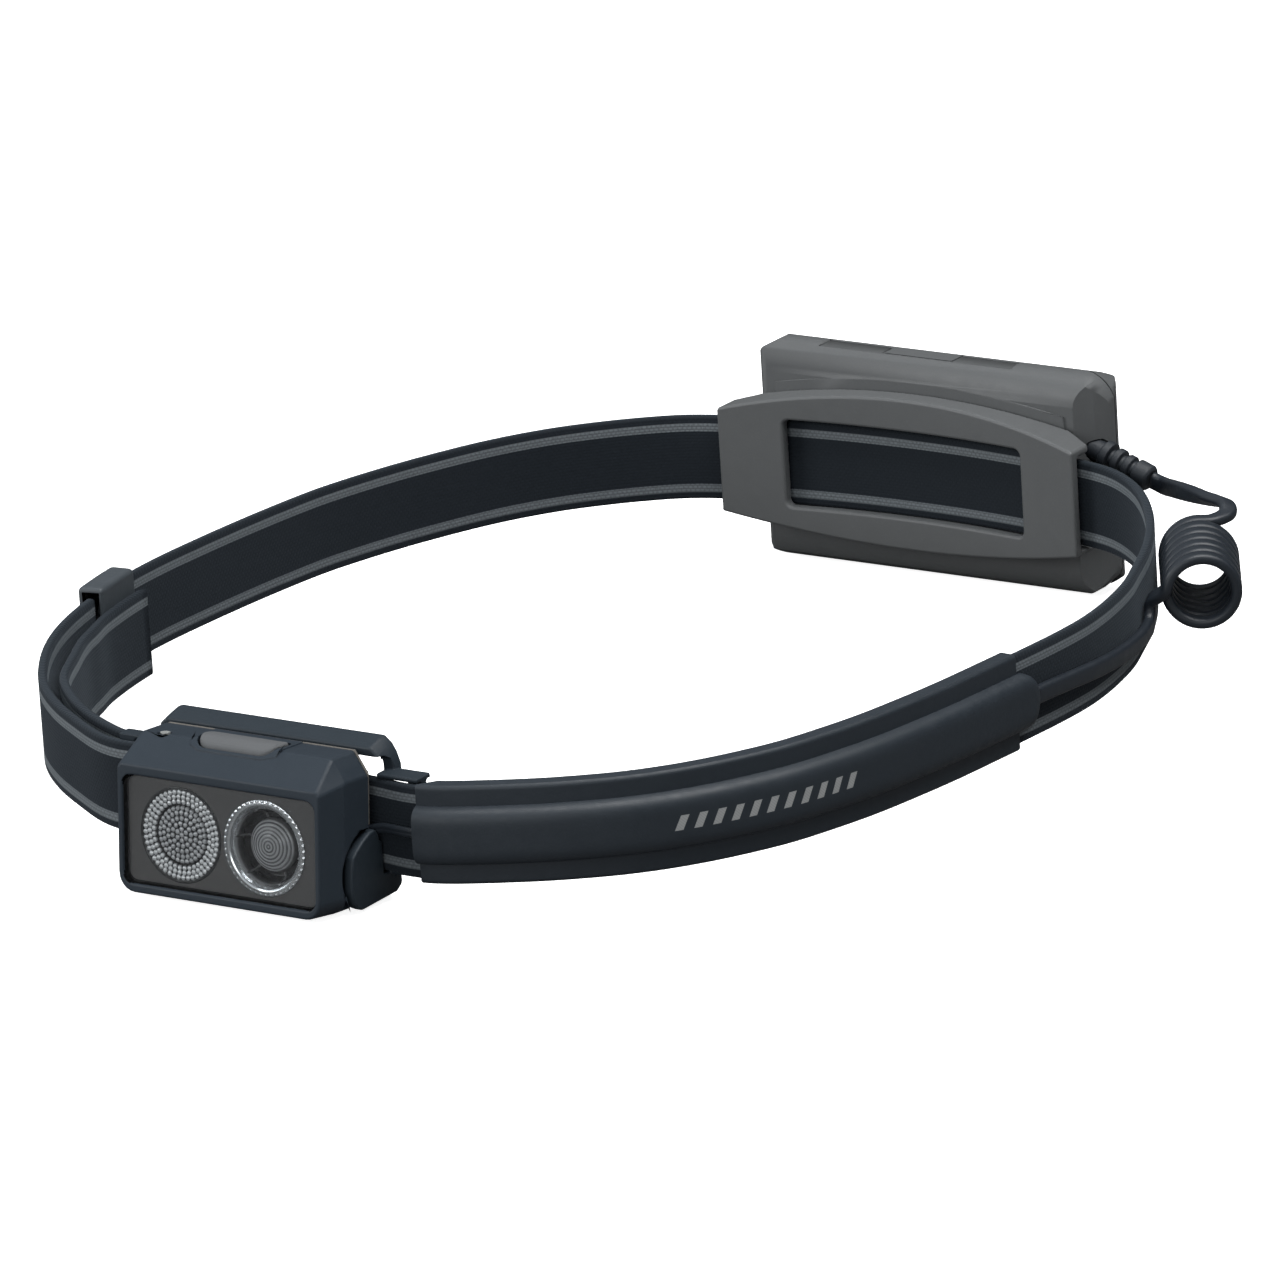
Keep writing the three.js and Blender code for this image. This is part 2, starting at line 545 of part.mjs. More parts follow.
// button outline in plan, grown by a margin
const buttonPlan = (margin) => {
  const y0 = BUTTON_Y0 - margin;
  const y1 = BUTTON_Y1 + margin;
  const rear = BUTTON_REAR + margin;
  const front = BUTTON_FRONT + margin;
  return mirrored([
    [front - 1.2, y0], [front - 0.2, y0 + 0.25], [front + 0.7, y0 + 0.9],
    [rear - 0.35, y0 + 1.9], [rear, y0 + 2.8], [rear - 0.15, y1 - 0.6], [rear - 0.7, y1],
  ]);
};
const headCavity = () => {
  const plan = mirrored([
    [HEAD_FRONT_HALF_W - 1.2, HEAD_FRONT_Y + HEAD_WALL],
    [ARM_IN - 1.9, -105],
    [ARM_IN - 1.9, -90],
  ]);
  return prism('xy', plan, -16, 16).intersect(prism('yz', CAVITY_SIDE, -24, 24));
};
// room for one bracket arm: round about the pivot, open to the rear and below
const cutArmPocket = (shell, side) => {
  const span = sideSpan(side, ARM_IN - GAP, 25);
  const opening = [
    [PIVOT_Y - 6.2, -16], [-90, -16], [-90, PIVOT_Z + POCKET_R],
    [PIVOT_Y, PIVOT_Z + POCKET_R], [PIVOT_Y, PIVOT_Z], [PIVOT_Y - 6.2, PIVOT_Z - 3.0],
  ];
  return shell
    .subtract(cyl('x', PIVOT_Y, PIVOT_Z, POCKET_R, ...span, 48))
    .subtract(prism('yz', opening, ...span))
    .subtract(pivotCyl(PIN_HOLE_R, side, 16, 25, 20));
};
const lampHousing = () => {
  let shell = Manifold.hull(HEAD_SECTIONS.flatMap(headSection));
  // clearance chamfer under the rear edge
  shell = shell.subtract(prism('yz', [
    [-101.2, HEAD_BOTTOM - 1], [-101.2, HEAD_BOTTOM], [HEAD_REAR_Y, REAR_BOTTOM],
    [-90, REAR_BOTTOM], [-90, HEAD_BOTTOM - 1],
  ], -24, 24));
  // corner posts that take the rear cover screws
  const posts = coverScrewCyls(2.2, -106, -90, 20).intersect(prism('yz', POST_SIDE, -24, 24));
  shell = shell.subtract(headCavity()).add(posts);
  shell = shell.subtract(coverScrewCyls(0.95, -101.9, -90, 14));
  const windowOutline = roundRect(-WIN_HALF_W, WIN_BOTTOM, WIN_HALF_W, WIN_TOP, WIN_R);
  shell = shell.subtract(prism('xz', windowOutline, HEAD_FRONT_Y - 1, HEAD_FRONT_Y + 3));
  for (const side of SIDES) shell = cutArmPocket(shell, side);
  shell = shell.add(prism('xy', LEDGE_PLAN, 6, 14).intersect(prism('yz', LEDGE_SIDE, -9, 9)));
  shell = shell.subtract(prism('xy', buttonPlan(GAP), 8.6, 14));
  return shell.subtract(cyl('z', PIPE_X, PIPE_Y, 1.0, 9.2, 14, 16));
};
putHead('lamp_housing', lampHousing(), 'navy');

// ---------------------------------------------------------------- window and optics
const OPTIC_X = 8.03, OPTIC_Z = -2.35, OPTIC_R = 7.4, OPTIC_Y = HEAD_FRONT_Y + 1;
const WIN_FIT = 0.2;                // window pane inside its opening
const TRIM_Y0 = HEAD_FRONT_Y + 1.35, TRIM_Y1 = HEAD_FRONT_Y + 2.15, CUP_Y1 = -102.6;
// profiles: radius, depth behind OPTIC_Y
const FLOOD_PROFILE = [             // moulded cup with a ringed front
  [0, 0.75], [4.1, 0.7], [4.45, 1.0], [4.85, 0.95], [5.2, 0.45], [6.2, 0.15], [7.1, 0.1],
  [OPTIC_R, 0.35], [OPTIC_R, 1.2], [6.7, 2.6], [5.4, 4.2], [3.6, 5.4], [2.6, 5.4], [2.6, 3.9],
  [0, 3.9],
];
const SPOT_PROFILE = [              // rim, dished throat and a domed centre set back behind it
  [0, 1.25], [1.6, 1.4], [3.2, 1.9], [4.0, 2.6], [4.35, 3.6], [5.1, 2.6], [5.7, 0.9],
  [6.2, 0.25], [6.8, 0.1], [7.3, 0.3], [OPTIC_R, 1.2], [6.9, 2.8], [5.9, 4.4], [3.6, 5.4],
  [2.6, 5.4], [2.6, 4.4], [0, 4.4],
];
const frontWindow = () => prism('xz', roundRect(
  -WIN_HALF_W + WIN_FIT, WIN_BOTTOM + WIN_FIT, WIN_HALF_W - WIN_FIT, WIN_TOP - WIN_FIT,
  WIN_R - WIN_FIT), HEAD_FRONT_Y + 0.22, HEAD_FRONT_Y + 0.87);
// dark plate with a cup for each optic
const opticTrim = () => {
  const cyls = (radius, y0, y1) =>
    bothSides((side) => cyl('y', side * OPTIC_X, OPTIC_Z, radius, y0, y1, 40));
  return prism('xz', roundRect(-18.1, -10.7, 18.1, 6.25, 1.5), TRIM_Y0, TRIM_Y1)
    .add(cyls(OPTIC_R + 0.65, TRIM_Y0, CUP_Y1))
    .subtract(cyls(OPTIC_R + 0.12, -112, -95));
};
const optic = (profile, side) =>
  lathe(profile, 40, ([x, y, z]) => [side * OPTIC_X + x, OPTIC_Y + y, OPTIC_Z + z]);
putHead('front_window', frontWindow(), 'pane');
putHead('optic_trim', opticTrim(), 'mask');
putHead('flood_optic', optic(FLOOD_PROFILE, -1), 'optic');
putHead('spot_optic', optic(SPOT_PROFILE, 1), 'clear');

// ---------------------------------------------------------------- boards and button
// depth and height ranges of the flat pieces
const LED_Y = [-102.65, -102.1], LED_HALF = 1.7;
const LED_BOARD_Y = [-101.85, -100.85], SPREADER_Y = [-100.55, -99.35];
const SWITCH_BOARD_Z = [6.7, 7.5], SWITCH_BODY_Z = [7.8, 9.3], PLUNGER_Z = [9.2, 10.0];
// button top follows the housing's fold: y, z
const BUTTON_SIDE = [
  [-106, 9], [-106, 11.3], [BUTTON_Y0, 11.95], [-104.35, 12.5], [-103.5, 12.95],
  [-102.6, HEAD_TOP + 0.65], [-101.2, HEAD_TOP + 0.62], [BUTTON_Y1, HEAD_TOP + 0.42],
  [BUTTON_Y1 + 1, HEAD_TOP + 0.2], [BUTTON_Y1 + 1, 9],
];
const led = (side) => {
  const x = side * OPTIC_X;
  const outline = rect(x - LED_HALF, OPTIC_Z - LED_HALF, x + LED_HALF, OPTIC_Z + LED_HALF);
  return prism('xz', outline, ...LED_Y);
};
const tactSwitch = () => prism('xy', roundRect(-2.4, -104.3, 2.4, -101.4, 0.4), ...SWITCH_BODY_Z)
  .add(cyl('z', 0, -102.8, 1.1, ...PLUNGER_Z, 20));
const modeButton = () => prism('xy', buttonPlan(0), 10.9, HEAD_TOP + 1)
  .intersect(prism('yz', BUTTON_SIDE, -9, 9));
putHead('led_flood', led(-1), 'led');
putHead('led_spot', led(1), 'led');
putHead('led_board', prism('xz', roundRect(-16.4, -9.2, 16.4, 4.9, 1.0), ...LED_BOARD_Y), 'pcb');
putHead('heat_spreader', prism('xz', roundRect(-15.6, -7.4, 15.6, 4.5, 1.0), ...SPREADER_Y),
  'alu');
putHead('switch_board',
  prism('xy', roundRect(-13.0, -105.2, 13.0, -98.3, 0.6), ...SWITCH_BOARD_Z), 'pcb');
putHead('tact_switch', tactSwitch(), 'steel');
putHead('mode_button', modeButton(), 'greyBtn');
putHead('indicator_pipe', cyl('z', PIPE_X, PIPE_Y, 0.8, 9.5, HEAD_TOP + 0.03, 16), 'clear');

// ---------------------------------------------------------------- seal and rear cover
const SEAL_Y = [-97.3, -96.75], COVER_Y = [-96.5, -95.5];
const GROMMET_X = 14.6, GROMMET_Z = -1.4;
const COVER_SIDE = [[-98, -7.9], [-96.5, -8.8], [-95.5, -8.2], [-95.5, 12], [-98, 12]];   // y, z
// plate that fits the housing's rear, drawn in by a margin
const rearPlate = (margin, top, [y0, y1]) => {
  const half = HEAD_HALF_W - 0.35;
  const armX = ARM_IN - 0.5 - margin;
  const outline = mirrored([
    [17.4, REAR_BOTTOM + 0.2 + margin],
    [armX, -8.2],
    [armX, PIVOT_Z + POCKET_R - 0.3],
    [half - margin, PIVOT_Z + POCKET_R + 0.3 + margin],
    [half - margin, 9.0],
    [half - 2.5 - margin * 0.4 - (HEAD_TOP - top) * 0.2, top],
  ]);
  return prism('xz', outline, -99, -90).intersect(box(-24, 24, y0, y1, -14, 14));
};
const housingSeal = () => rearPlate(0, HEAD_TOP, SEAL_Y)
  .subtract(prism('xz', roundRect(-17.2, -7.5, 17.2, 10.5, 1.0), -98, -94))
  .add(coverScrewCyls(2.2, ...SEAL_Y, 20))
  .subtract(coverScrewCyls(COVER_HOLE_R, -98, -94, 14))
  .subtract(bothSides((side) => pivotCyl(2.0, side, 18.2, 25, 20)));
const lampRearCover = () => rearPlate(0.9, 10.9, COVER_Y)
  .intersect(prism('yz', COVER_SIDE, -24, 24))
  .subtract(coverScrewCyls(COVER_HOLE_R, -98, -94, 14))
  .subtract(cyl('y', GROMMET_X, GROMMET_Z, 1.35, -98, -94, 16));
putHead('housing_seal', housingSeal(), 'gasket');
putHead('lamp_rear_cover', lampRearCover(), 'navyDark');
for (const [name, side] of [['lamp_screw_l', 1], ['lamp_screw_r', -1]]) {
  putHead(name, cyl('y', side * COVER_SCREW_X, COVER_SCREW_Z, 0.8, -101.6, -95.55, 14), 'steel');
}
putHead('lead_grommet', cyl('y', GROMMET_X, GROMMET_Z, 1.1, -97.7, -95.3, 16), 'cable');

// ---------------------------------------------------------------- tilt bracket
const PLATE_Y0 = -91.5, PLATE_Y1 = -89.7;
const BAR_Y0 = -92.7, BAR_Y1 = -91.1;
const SLOT_HALF = 7.65, RAIL_BOTTOM = -8.45;        // strap slot, underside of the lower rail
// upright bar and rails on each side: x of the bar, front and top of the upper rail
const BARS = [
  { side: 1, inner: 25.6, outer: 28.4, railFront: -93.9, top: 8.45 },
  { side: -1, inner: 26.8, outer: 30.0, railFront: BAR_Y0, top: 8.2 },
];
// +X half of the forehead plate: x, z
const PLATE_HALF = [
  [20.6, -11.6], [21.4, -9.4], [21.4, 3.4], [19.6, 4.6], [15.4, 4.6], [14.6, 5.6], [14.6, 12.0],
];
// side arm, running back under the strap to the plate: y, z
const ARM_SIDE = [
  [-96.0, 0.0], [-97.4, -0.15], [-99.33, -0.95], [-101.2, -2.05], [-102.3, -2.95],
  [-102.9, -4.7], [-103.3, -8.0], [-103.25, -9.2], [-102.8, -10.4], [-102.0, -11.3],
  [-100.7, -12.0], [-91.3, -11.9], [-90.0, -11.1], [-89.7, -10.4], [-89.7, -8.0],
  [-94.35, -8.0], [-94.35, -2.4], [-94.95, -2.3], [-95.4, -0.8],
];
// +X halves of the hood's outer and inner lines: x, z
const HOOD_OUTER = [[22.4, 7.7], [22.35, 9.0], [21.7, 10.9], [20.9, 12.2], [19.6, 13.3]];
const HOOD_INNER = [[20.2, 7.7], [20.2, 9.6], [19.3, 11.0], [17.4, 11.3]];
// fall of the hood towards the front: y, drop
const HOOD_DROP = [[-93.6, 0.95], [-92.4, 0.6], [-91.2, 0.25], [-90.0, 0], [-89.1, 0]];
// side view of what is cut from under the hood in front of its rear rim: y, z
const HOOD_UNDERCUT = [[-95, 5], [-91.2, 5], [-91.2, 10.2], [-92.6, 11.0], [-95, 11.0]];

const bracketSide = (bracket, { side, inner, outer, railFront, top }) => {
  const arm = prism('yz', ARM_SIDE, ...sideSpan(side, ARM_IN, ARM_OUT))
    .subtract(pivotCyl(PIN_HOLE_R, side, ARM_IN - 1, ARM_OUT - 0.6, 20));
  return bracket
    .add(box(...sideSpan(side, 20.6, outer), railFront, -90.0, SLOT_HALF, top))
    .add(box(...sideSpan(side, 20.0, outer), BAR_Y0, PLATE_Y1, RAIL_BOTTOM, -SLOT_HALF))
    .add(box(...sideSpan(side, inner, outer), BAR_Y0, BAR_Y1, RAIL_BOTTOM, top))
    .add(arm);
};
const bracketHood = () => {
  const outline = [...mirrored(HOOD_OUTER), ...mirrored(HOOD_INNER).reverse()];
  const slices = HOOD_DROP.slice(1).map(([y1, drop1], i) => {
    const [y0, drop0] = HOOD_DROP[i];
    return extrude(outline, 1, 1,
      ([x, z, t]) => [x, y0 + (y1 - y0) * t, z - (drop0 + (drop1 - drop0) * t)]);
  });
  return slices.reduce((hood, slice) => hood.add(slice))
    .subtract(box(-30, 30, -95, -88, 5, SLOT_HALF))
    .subtract(prism('yz', HOOD_UNDERCUT, -30, 30));
};
const tiltBracket = () => {
  const plate = prism('xz', mirrored(PLATE_HALF), PLATE_Y0, PLATE_Y1);
  return BARS.reduce(bracketSide, plate).add(bracketHood());
};
put('tilt_bracket', tiltBracket(), 'navy');
put('forehead_pad',
  prism('xz', roundRect(-14.4, -9.6, 14.4, 8.6, 3.0), PLATE_Y1 + GAP, PLATE_Y1 + 1.9), 'foam');
for (const [name, side] of [['tilt_pin_l', 1], ['tilt_pin_r', -1]]) {
  put(name, pivotCyl(PIN_R, side, 18.5, 20.6, 20), 'steel');
}

// ---------------------------------------------------------------- battery box
const BOX_WALL = 1.5;
const HALF_SEAM_GAP = 0.15;
const HINGE_Y = SEAM_Y, HINGE_Z = -18.0, KNUCKLE_R = 1.25;
const CELL_R = 5.2, CELL_L = 43.2, CELL_PITCH = 10.9;
const CELL_XC = -2.2, CELL_Y = SEAM_Y, CELL_ZC = 0.15;
const TRAY_KNUCKLES = [[-26, -16.3], [-4.8, 4.8], [16.3, 26]];   // x ranges
const COVER_KNUCKLES = [[-16, -5.1], [5.1, 16]];
// +X half of the box in plan: x, its move inwards per mm of inset; y, its move per mm of inset
const BOX_PLAN = [
  [30.8, 0.4, BOX_Y0, 1], [33.6, 0.8, BOX_Y0 + 2.4, 0.4], [35.2, 1, BOX_Y0 + 5.0, 0],
  [34.9, 1, 107.6, 0], [33.9, 1, 109.6, 0], [32.4, 1, 111.4, 0],
  [30.4, 0.9, 112.9, -0.3], [27.8, 0.8, 113.9, -0.7], [24.8, 0.6, BOX_Y1, -1],
];

// the box's outer form, drawn in by an inset
const boxForm = (inset) => {
  const plan = BOX_PLAN.map(([x, dx, y, dy]) => [x - inset * dx, y + inset * dy]);
  const [z0, z1] = [BOX_Z0 + inset, BOX_Z1 - inset];
  const radii = [9, 9, 4.9, 4.9].map((r) => r - inset);
  const halfW = BOX_HALF_W - inset;
  return prism('yz', roundRect(BOX_Y0 + inset, z0, BOX_Y1 - inset, z1, radii, 8), -40, 40)
    .intersect(prism('xy', mirrored(plan), -30, 30))
    .intersect(prism('xz', roundRect(-halfW, z0, halfW, z1, 6.8 - inset, 8), 90, 125));
};
const boxShell = boxForm(0).subtract(boxForm(BOX_WALL));
const hingeCyl = (x0, x1, r) => cyl('x', HINGE_Y, HINGE_Z, r, x0, x1, 20);
const hingeGroove = hingeCyl(-40, 40, 1.75);
const hingeBore = hingeCyl(-28, 28, 0.85);
// shallow step along the top edge, with a pocket for the cover's pull tab
const topRecess = box(-21.9, 17.0, 103.2, 120, BOX_Z1 - 0.5, BOX_Z1 + 2)
  .add(box(-9.6, 4.8, 103.9, SEAM_Y + 3, BOX_Z1 - 1.2, BOX_Z1 + 2));

// lens-shaped outline of the strap frame, shared with its seat on the tray
const frameHalfHeight = (x) =>
  FRAME_HALF_MID - (FRAME_HALF_MID - FRAME_HALF_END) * (x / FRAME_HALF_W) ** 2;
const lensOutline = (halfW, n, margin) => {
  const edge = (sign) =>
    evenly(halfW, n).map((x) => [x, FRAME_ZC + sign * (frameHalfHeight(x) + margin)]);
  return [...edge(-1), ...edge(1).reverse()];
};

// tray: half nearer the head, with the raised seat for the strap frame
const boxTray = () => {
  let tray = boxShell.intersect(box(-40, 40, 90, SEAM_Y - HALF_SEAM_GAP, -30, 30));
  tray = tray.add(prism('xz', lensOutline(29, 24, 1.6), 99.75, BOX_Y0 + 0.4));
  // end walls of the cell bay
  for (const [x0, x1] of [[-29.6, -28.2], [24.6, 26.0]]) {
    const wall = box(x0, x1, BOX_Y0 + 1.2, SEAM_Y - 0.4, BOX_Z0 + 1.2, BOX_Z1 - 1.2);
    tray = tray.add(wall.intersect(boxForm(0.8)));
  }
  // ribs between the cells
  const [ribY0, ribY1] = [BOX_Y0 + 1.2, BOX_Y0 + 3.0];
  for (const z of [CELL_ZC - CELL_PITCH / 2, CELL_ZC + CELL_PITCH / 2]) {
    const rib = [[ribY0, z - 1.5], [ribY1, z - 0.35], [ribY1, z + 0.35], [ribY0, z + 1.5]];
    tray = tray.add(prism('yz', rib, -20, 16));
  }
  // backing under the tab pocket
  tray = tray
    .add(box(-11, 6.2, 102.6, SEAM_Y - HALF_SEAM_GAP, BOX_Z1 - 2.3, BOX_Z1 - 1.2))
    .subtract(hingeGroove)
    .subtract(topRecess);
  for (const [x0, x1] of TRAY_KNUCKLES) {
    const web = box(x0, x1, HINGE_Y - 3.4, HINGE_Y, HINGE_Z - 0.2, HINGE_Z + 1.25);
    tray = tray.add(hingeCyl(x0, x1, KNUCKLE_R)).add(web.intersect(boxForm(0)));
  }
  tray = tray.subtract(hingeBore);
  // cable outlet: bore and counterbore (radius, length, shift along the strain relief)
  for (const [radius, length, shift] of [[2.2, 7, -1.6], [2.95, 3, 1.2]]) {
    const bore = new THREE.CylinderGeometry(radius, radius, length, 24);
    tray = tray.subtract(toSolid(bore, onBootAxis(shift)));
  }
  for (const [x, z] of FRAME_SCREWS) {
    tray = tray
      .subtract(cyl('y', x, z, FRAME_HOLE_R, 99, 103, 14))
      .subtract(cyl('y', x, z, 1.7, BOX_Y0 + 0.7, 103.2, 18));
  }
  return tray;
};
// cover: rear half, with the pull tab in the top recess
const boxCover = () => {
  let cover = boxShell.intersect(box(-40, 40, SEAM_Y + HALF_SEAM_GAP, 130, -30, 30))
    .subtract(hingeGroove)
    .subtract(topRecess);
  for (const [x0, x1] of COVER_KNUCKLES) {
    const web = box(x0, x1, HINGE_Y, HINGE_Y + 2.6, HINGE_Z - 0.2, HINGE_Z + 1.1);
    cover = cover.add(hingeCyl(x0, x1, KNUCKLE_R)).add(web.intersect(boxForm(0)));
  }
  cover = cover.subtract(hingeBore);
  // inside ribs that steady the cells
  for (const x of [-14, 10]) {
    cover = cover.add(box(x - 0.5, x + 0.5, BOX_Y1 - 1.7, BOX_Y1 - 1.2, -15, 15));
  }
  const tabRoot = box(-9.2, 4.4, SEAM_Y + HALF_SEAM_GAP, SEAM_Y + 3.2, BOX_Z1 - 2.3, BOX_Z1 - 0.5);
  return cover
    .add(box(-9.2, 4.4, 104.3, SEAM_Y + 0.6, BOX_Z1 - 0.95, BOX_Z1 - 0.5))
    .add(tabRoot.intersect(boxForm(0)));
};
put('box_tray', boxTray(), 'greyBox');
put('box_cover', boxCover(), 'greyBox');
put('box_hinge_pin', hingeCyl(-25.8, 25.8, 0.77), 'steel');

// ---------------------------------------------------------------- strap frame
const FRAME_T = 2.0, FRAME_WIN_HALF_W = 23.9, FRAME_WIN_HALF_H = 7.8;
// curved lens-shaped bridge with a window, standing off the tray on two rails
const strapFrame = () => {
  const n = 28;
  const curve = (offset) =>
    evenly(FRAME_HALF_W, n).map((x) => [x, 95.2 - 0.00323 * x * x + offset]);
  const lens = prism('xz', lensOutline(FRAME_HALF_W, n, 0), 85, 105);
  const opening = roundRect(
    -FRAME_WIN_HALF_W, FRAME_ZC - FRAME_WIN_HALF_H,
    FRAME_WIN_HALF_W, FRAME_ZC + FRAME_WIN_HALF_H, 1.2);
  const bridge = prism('xy', [...curve(0), ...curve(FRAME_T).reverse()], -20, 20)
    .intersect(lens)
    .subtract(prism('xz', opening, 85, 105));
  const railPlan = [
    ...curve(FRAME_T - 0.4),
    [FRAME_HALF_W, 96.6], [30.5, 99.45], [-30.5, 99.45], [-FRAME_HALF_W, 96.6],
  ];
  const rails = prism('xy', railPlan, -20, 20)
    .intersect(lens)
    .subtract(box(-40, 40, 85, 105, -7.95, 8.6));
  return FRAME_SCREWS.reduce(
    (frame, [x, z]) => frame.subtract(cyl('y', x, z, FRAME_HOLE_R, 96.6, 101, 14)),
    bridge.add(rails));
};
const frameScrew = (x, z) => cyl('y', x, z, 0.75, 97.0, BOX_Y0 + 1.0, 14)
  .add(cyl('y', x, z, 1.45, BOX_Y0 + 0.9, BOX_Y0 + 1.5, 16));
put('strap_frame', strapFrame(), 'greyBox');
FRAME_SCREWS.forEach(([x, z], i) => put(`frame_screw_${i + 1}`, frameScrew(x, z), 'steel'));

// ---------------------------------------------------------------- cells, contacts, board
const CELL_ZS = [CELL_ZC + CELL_PITCH, CELL_ZC, CELL_ZC - CELL_PITCH];   // top to bottom
const SPRING_TURNS = 3, SPRING_L = 2.8, SPRING_WIRE_R = 0.27, SPRING_STEPS = 30;

// direction is the x sense in which the cell's nub points
const cell = (z, direction) => {
  const end = CELL_XC + direction * CELL_L / 2;
  const nubSpan = [end - direction * 0.1, end + direction].sort((a, b) => a - b);
  return cyl('x', CELL_Y, z, CELL_R, CELL_XC - CELL_L / 2, CELL_XC + CELL_L / 2, 36)
    .add(cyl('x', CELL_Y, z, 1.8, ...nubSpan, 20));
};
// conical spring on the cell's flat end, wider away from the cell
const contactSpring = (z, direction) => {
  const start = CELL_XC - direction * (CELL_L / 2 + 0.35);
  const stations = Array.from({ length: SPRING_STEPS + 1 }, (_, i) => {
    const f = i / SPRING_STEPS;
    const angle = f * SPRING_TURNS * 2 * Math.PI;
    const normal = [0, Math.cos(angle), Math.sin(angle)];
    const centre = [start - direction * SPRING_L * f, CELL_Y, z];
    return { point: add(centre, scale(normal, 1.7 + 1.6 * f)), normal, binormal: [1, 0, 0] };
  });
  return sweep(circle(0, 0, SPRING_WIRE_R, 6), stations);
};
CELL_ZS.forEach((z, i) => {
  const direction = i % 2 ? -1 : 1;
  put(`cell_${i + 1}`, cell(z, direction), 'cell');
  put(`contact_spring_${i + 1}`, contactSpring(z, direction), 'steel');
});

// contact strips; "left" names the -X end of the bay: name, x, bottom, top
const [TOP_Z, MIDDLE_Z, LOW_Z] = CELL_ZS;
const CONTACTS = [
  ['contact_left_pair', -27.9, MIDDLE_Z - 4.2, TOP_Z + 4.2],
  ['contact_left_single', -27.9, LOW_Z - 4.2, LOW_Z + 4.4],
  ['contact_right_single', 24.0, TOP_Z - 4.4, TOP_Z + 4.2],
  ['contact_right_pair', 24.0, LOW_Z - 4.2, MIDDLE_Z + 4.2],
];
for (const [name, x, z0, z1] of CONTACTS) {
  put(name, box(x, x + 0.4, 103.2, 111.2, z0, z1), 'steel');
}
put('battery_board', box(27.2, 28.2, 103.0, 111.4, -10.5, 4.0), 'pcb');

export default group;
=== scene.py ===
import math

import bmesh
import bpy
import numpy as np
from mathutils import Matrix, Vector


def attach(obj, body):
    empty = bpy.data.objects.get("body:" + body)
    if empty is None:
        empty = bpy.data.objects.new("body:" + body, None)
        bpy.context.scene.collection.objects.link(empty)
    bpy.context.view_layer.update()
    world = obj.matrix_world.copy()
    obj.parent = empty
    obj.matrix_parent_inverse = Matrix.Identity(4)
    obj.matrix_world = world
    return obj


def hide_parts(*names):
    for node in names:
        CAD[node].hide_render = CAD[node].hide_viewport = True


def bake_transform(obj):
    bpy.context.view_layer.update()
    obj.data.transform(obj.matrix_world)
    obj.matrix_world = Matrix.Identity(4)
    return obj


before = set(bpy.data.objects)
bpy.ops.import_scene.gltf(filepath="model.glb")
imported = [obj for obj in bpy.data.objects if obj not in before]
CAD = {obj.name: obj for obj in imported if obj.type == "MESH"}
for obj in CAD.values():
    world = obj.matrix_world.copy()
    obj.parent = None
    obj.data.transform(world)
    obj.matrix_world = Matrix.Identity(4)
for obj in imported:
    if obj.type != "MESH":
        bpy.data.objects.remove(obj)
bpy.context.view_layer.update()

ORIGIN = np.array([3.36, 2.28, 0.15])      # layout point at the frame's origin, mm
REST_LEAN = math.radians(-5.5)             # head pieces lean back about the tilt pivot
PIVOT = (-97.6, -6.4)


# ------------------------------------------------------------------ geometry helpers
def fr(p):
    """Layout millimetres to frame metres."""
    return (np.asarray(p, float) - ORIGIN) / 1000.0


def lean(p):
    """Head pieces' own rest lean."""
    p = np.array(p, float)
    c, s = math.cos(REST_LEAN), math.sin(REST_LEAN)
    y, z = p[..., 1] - PIVOT[0], p[..., 2] - PIVOT[1]
    q = p.copy()
    q[..., 1] = PIVOT[0] + y * c - z * s
    q[..., 2] = PIVOT[1] + y * s + z * c
    return q


def unlean(p):
    """Frame metres to the head's own upright layout millimetres."""
    q = np.array(p, float) * 1000 + ORIGIN
    c, s = math.cos(REST_LEAN), math.sin(REST_LEAN)
    y, z = q[..., 1] - PIVOT[0], q[..., 2] - PIVOT[1]
    r = q.copy()
    r[..., 1] = PIVOT[0] + y * c + z * s
    r[..., 2] = PIVOT[1] - y * s + z * c
    return r


def new_object(name, mesh):
    ob = bpy.data.objects.new(name, mesh)
    bpy.context.scene.collection.objects.link(ob)
    return ob


def mesh_object(name, pts_mm, faces, smooth=True, attrs=None):
    me = bpy.data.meshes.new(name)
    me.from_pydata([tuple(v) for v in fr(pts_mm)], [], [tuple(int(i) for i in f) for f in faces])
    me.update()
    bm = bmesh.new()
    bm.from_mesh(me)
    if bm.calc_volume(signed=True) < 0:
        bmesh.ops.reverse_faces(bm, faces=bm.faces)
    bm.to_mesh(me)
    bm.free()
    for key, arr in (attrs or {}).items():
        arr = np.asarray(arr, np.float32)
        if arr.ndim == 2:
            a = me.attributes.new(key, "FLOAT_VECTOR", "POINT")
            a.data.foreach_set("vector", arr.ravel())
        else:
            a = me.attributes.new(key, "FLOAT", "POINT")
            a.data.foreach_set("value", arr)
    if smooth:
        me.polygons.foreach_set("use_smooth", [True] * len(me.polygons))
    return new_object(name, me)


def grid_faces(n, m, closed_m=True, base=0):
    out = []
    for i in range(n - 1):
        for j in range(m if closed_m else m - 1):
            k = (j + 1) % m
            out.append((base + i * m + j, base + i * m + k, base + (i + 1) * m + k, base + (i + 1) * m + j))
    return out


def sharpen(ob, degrees=32):
    ob.data.set_sharp_from_angle(angle=math.radians(degrees))
    return ob


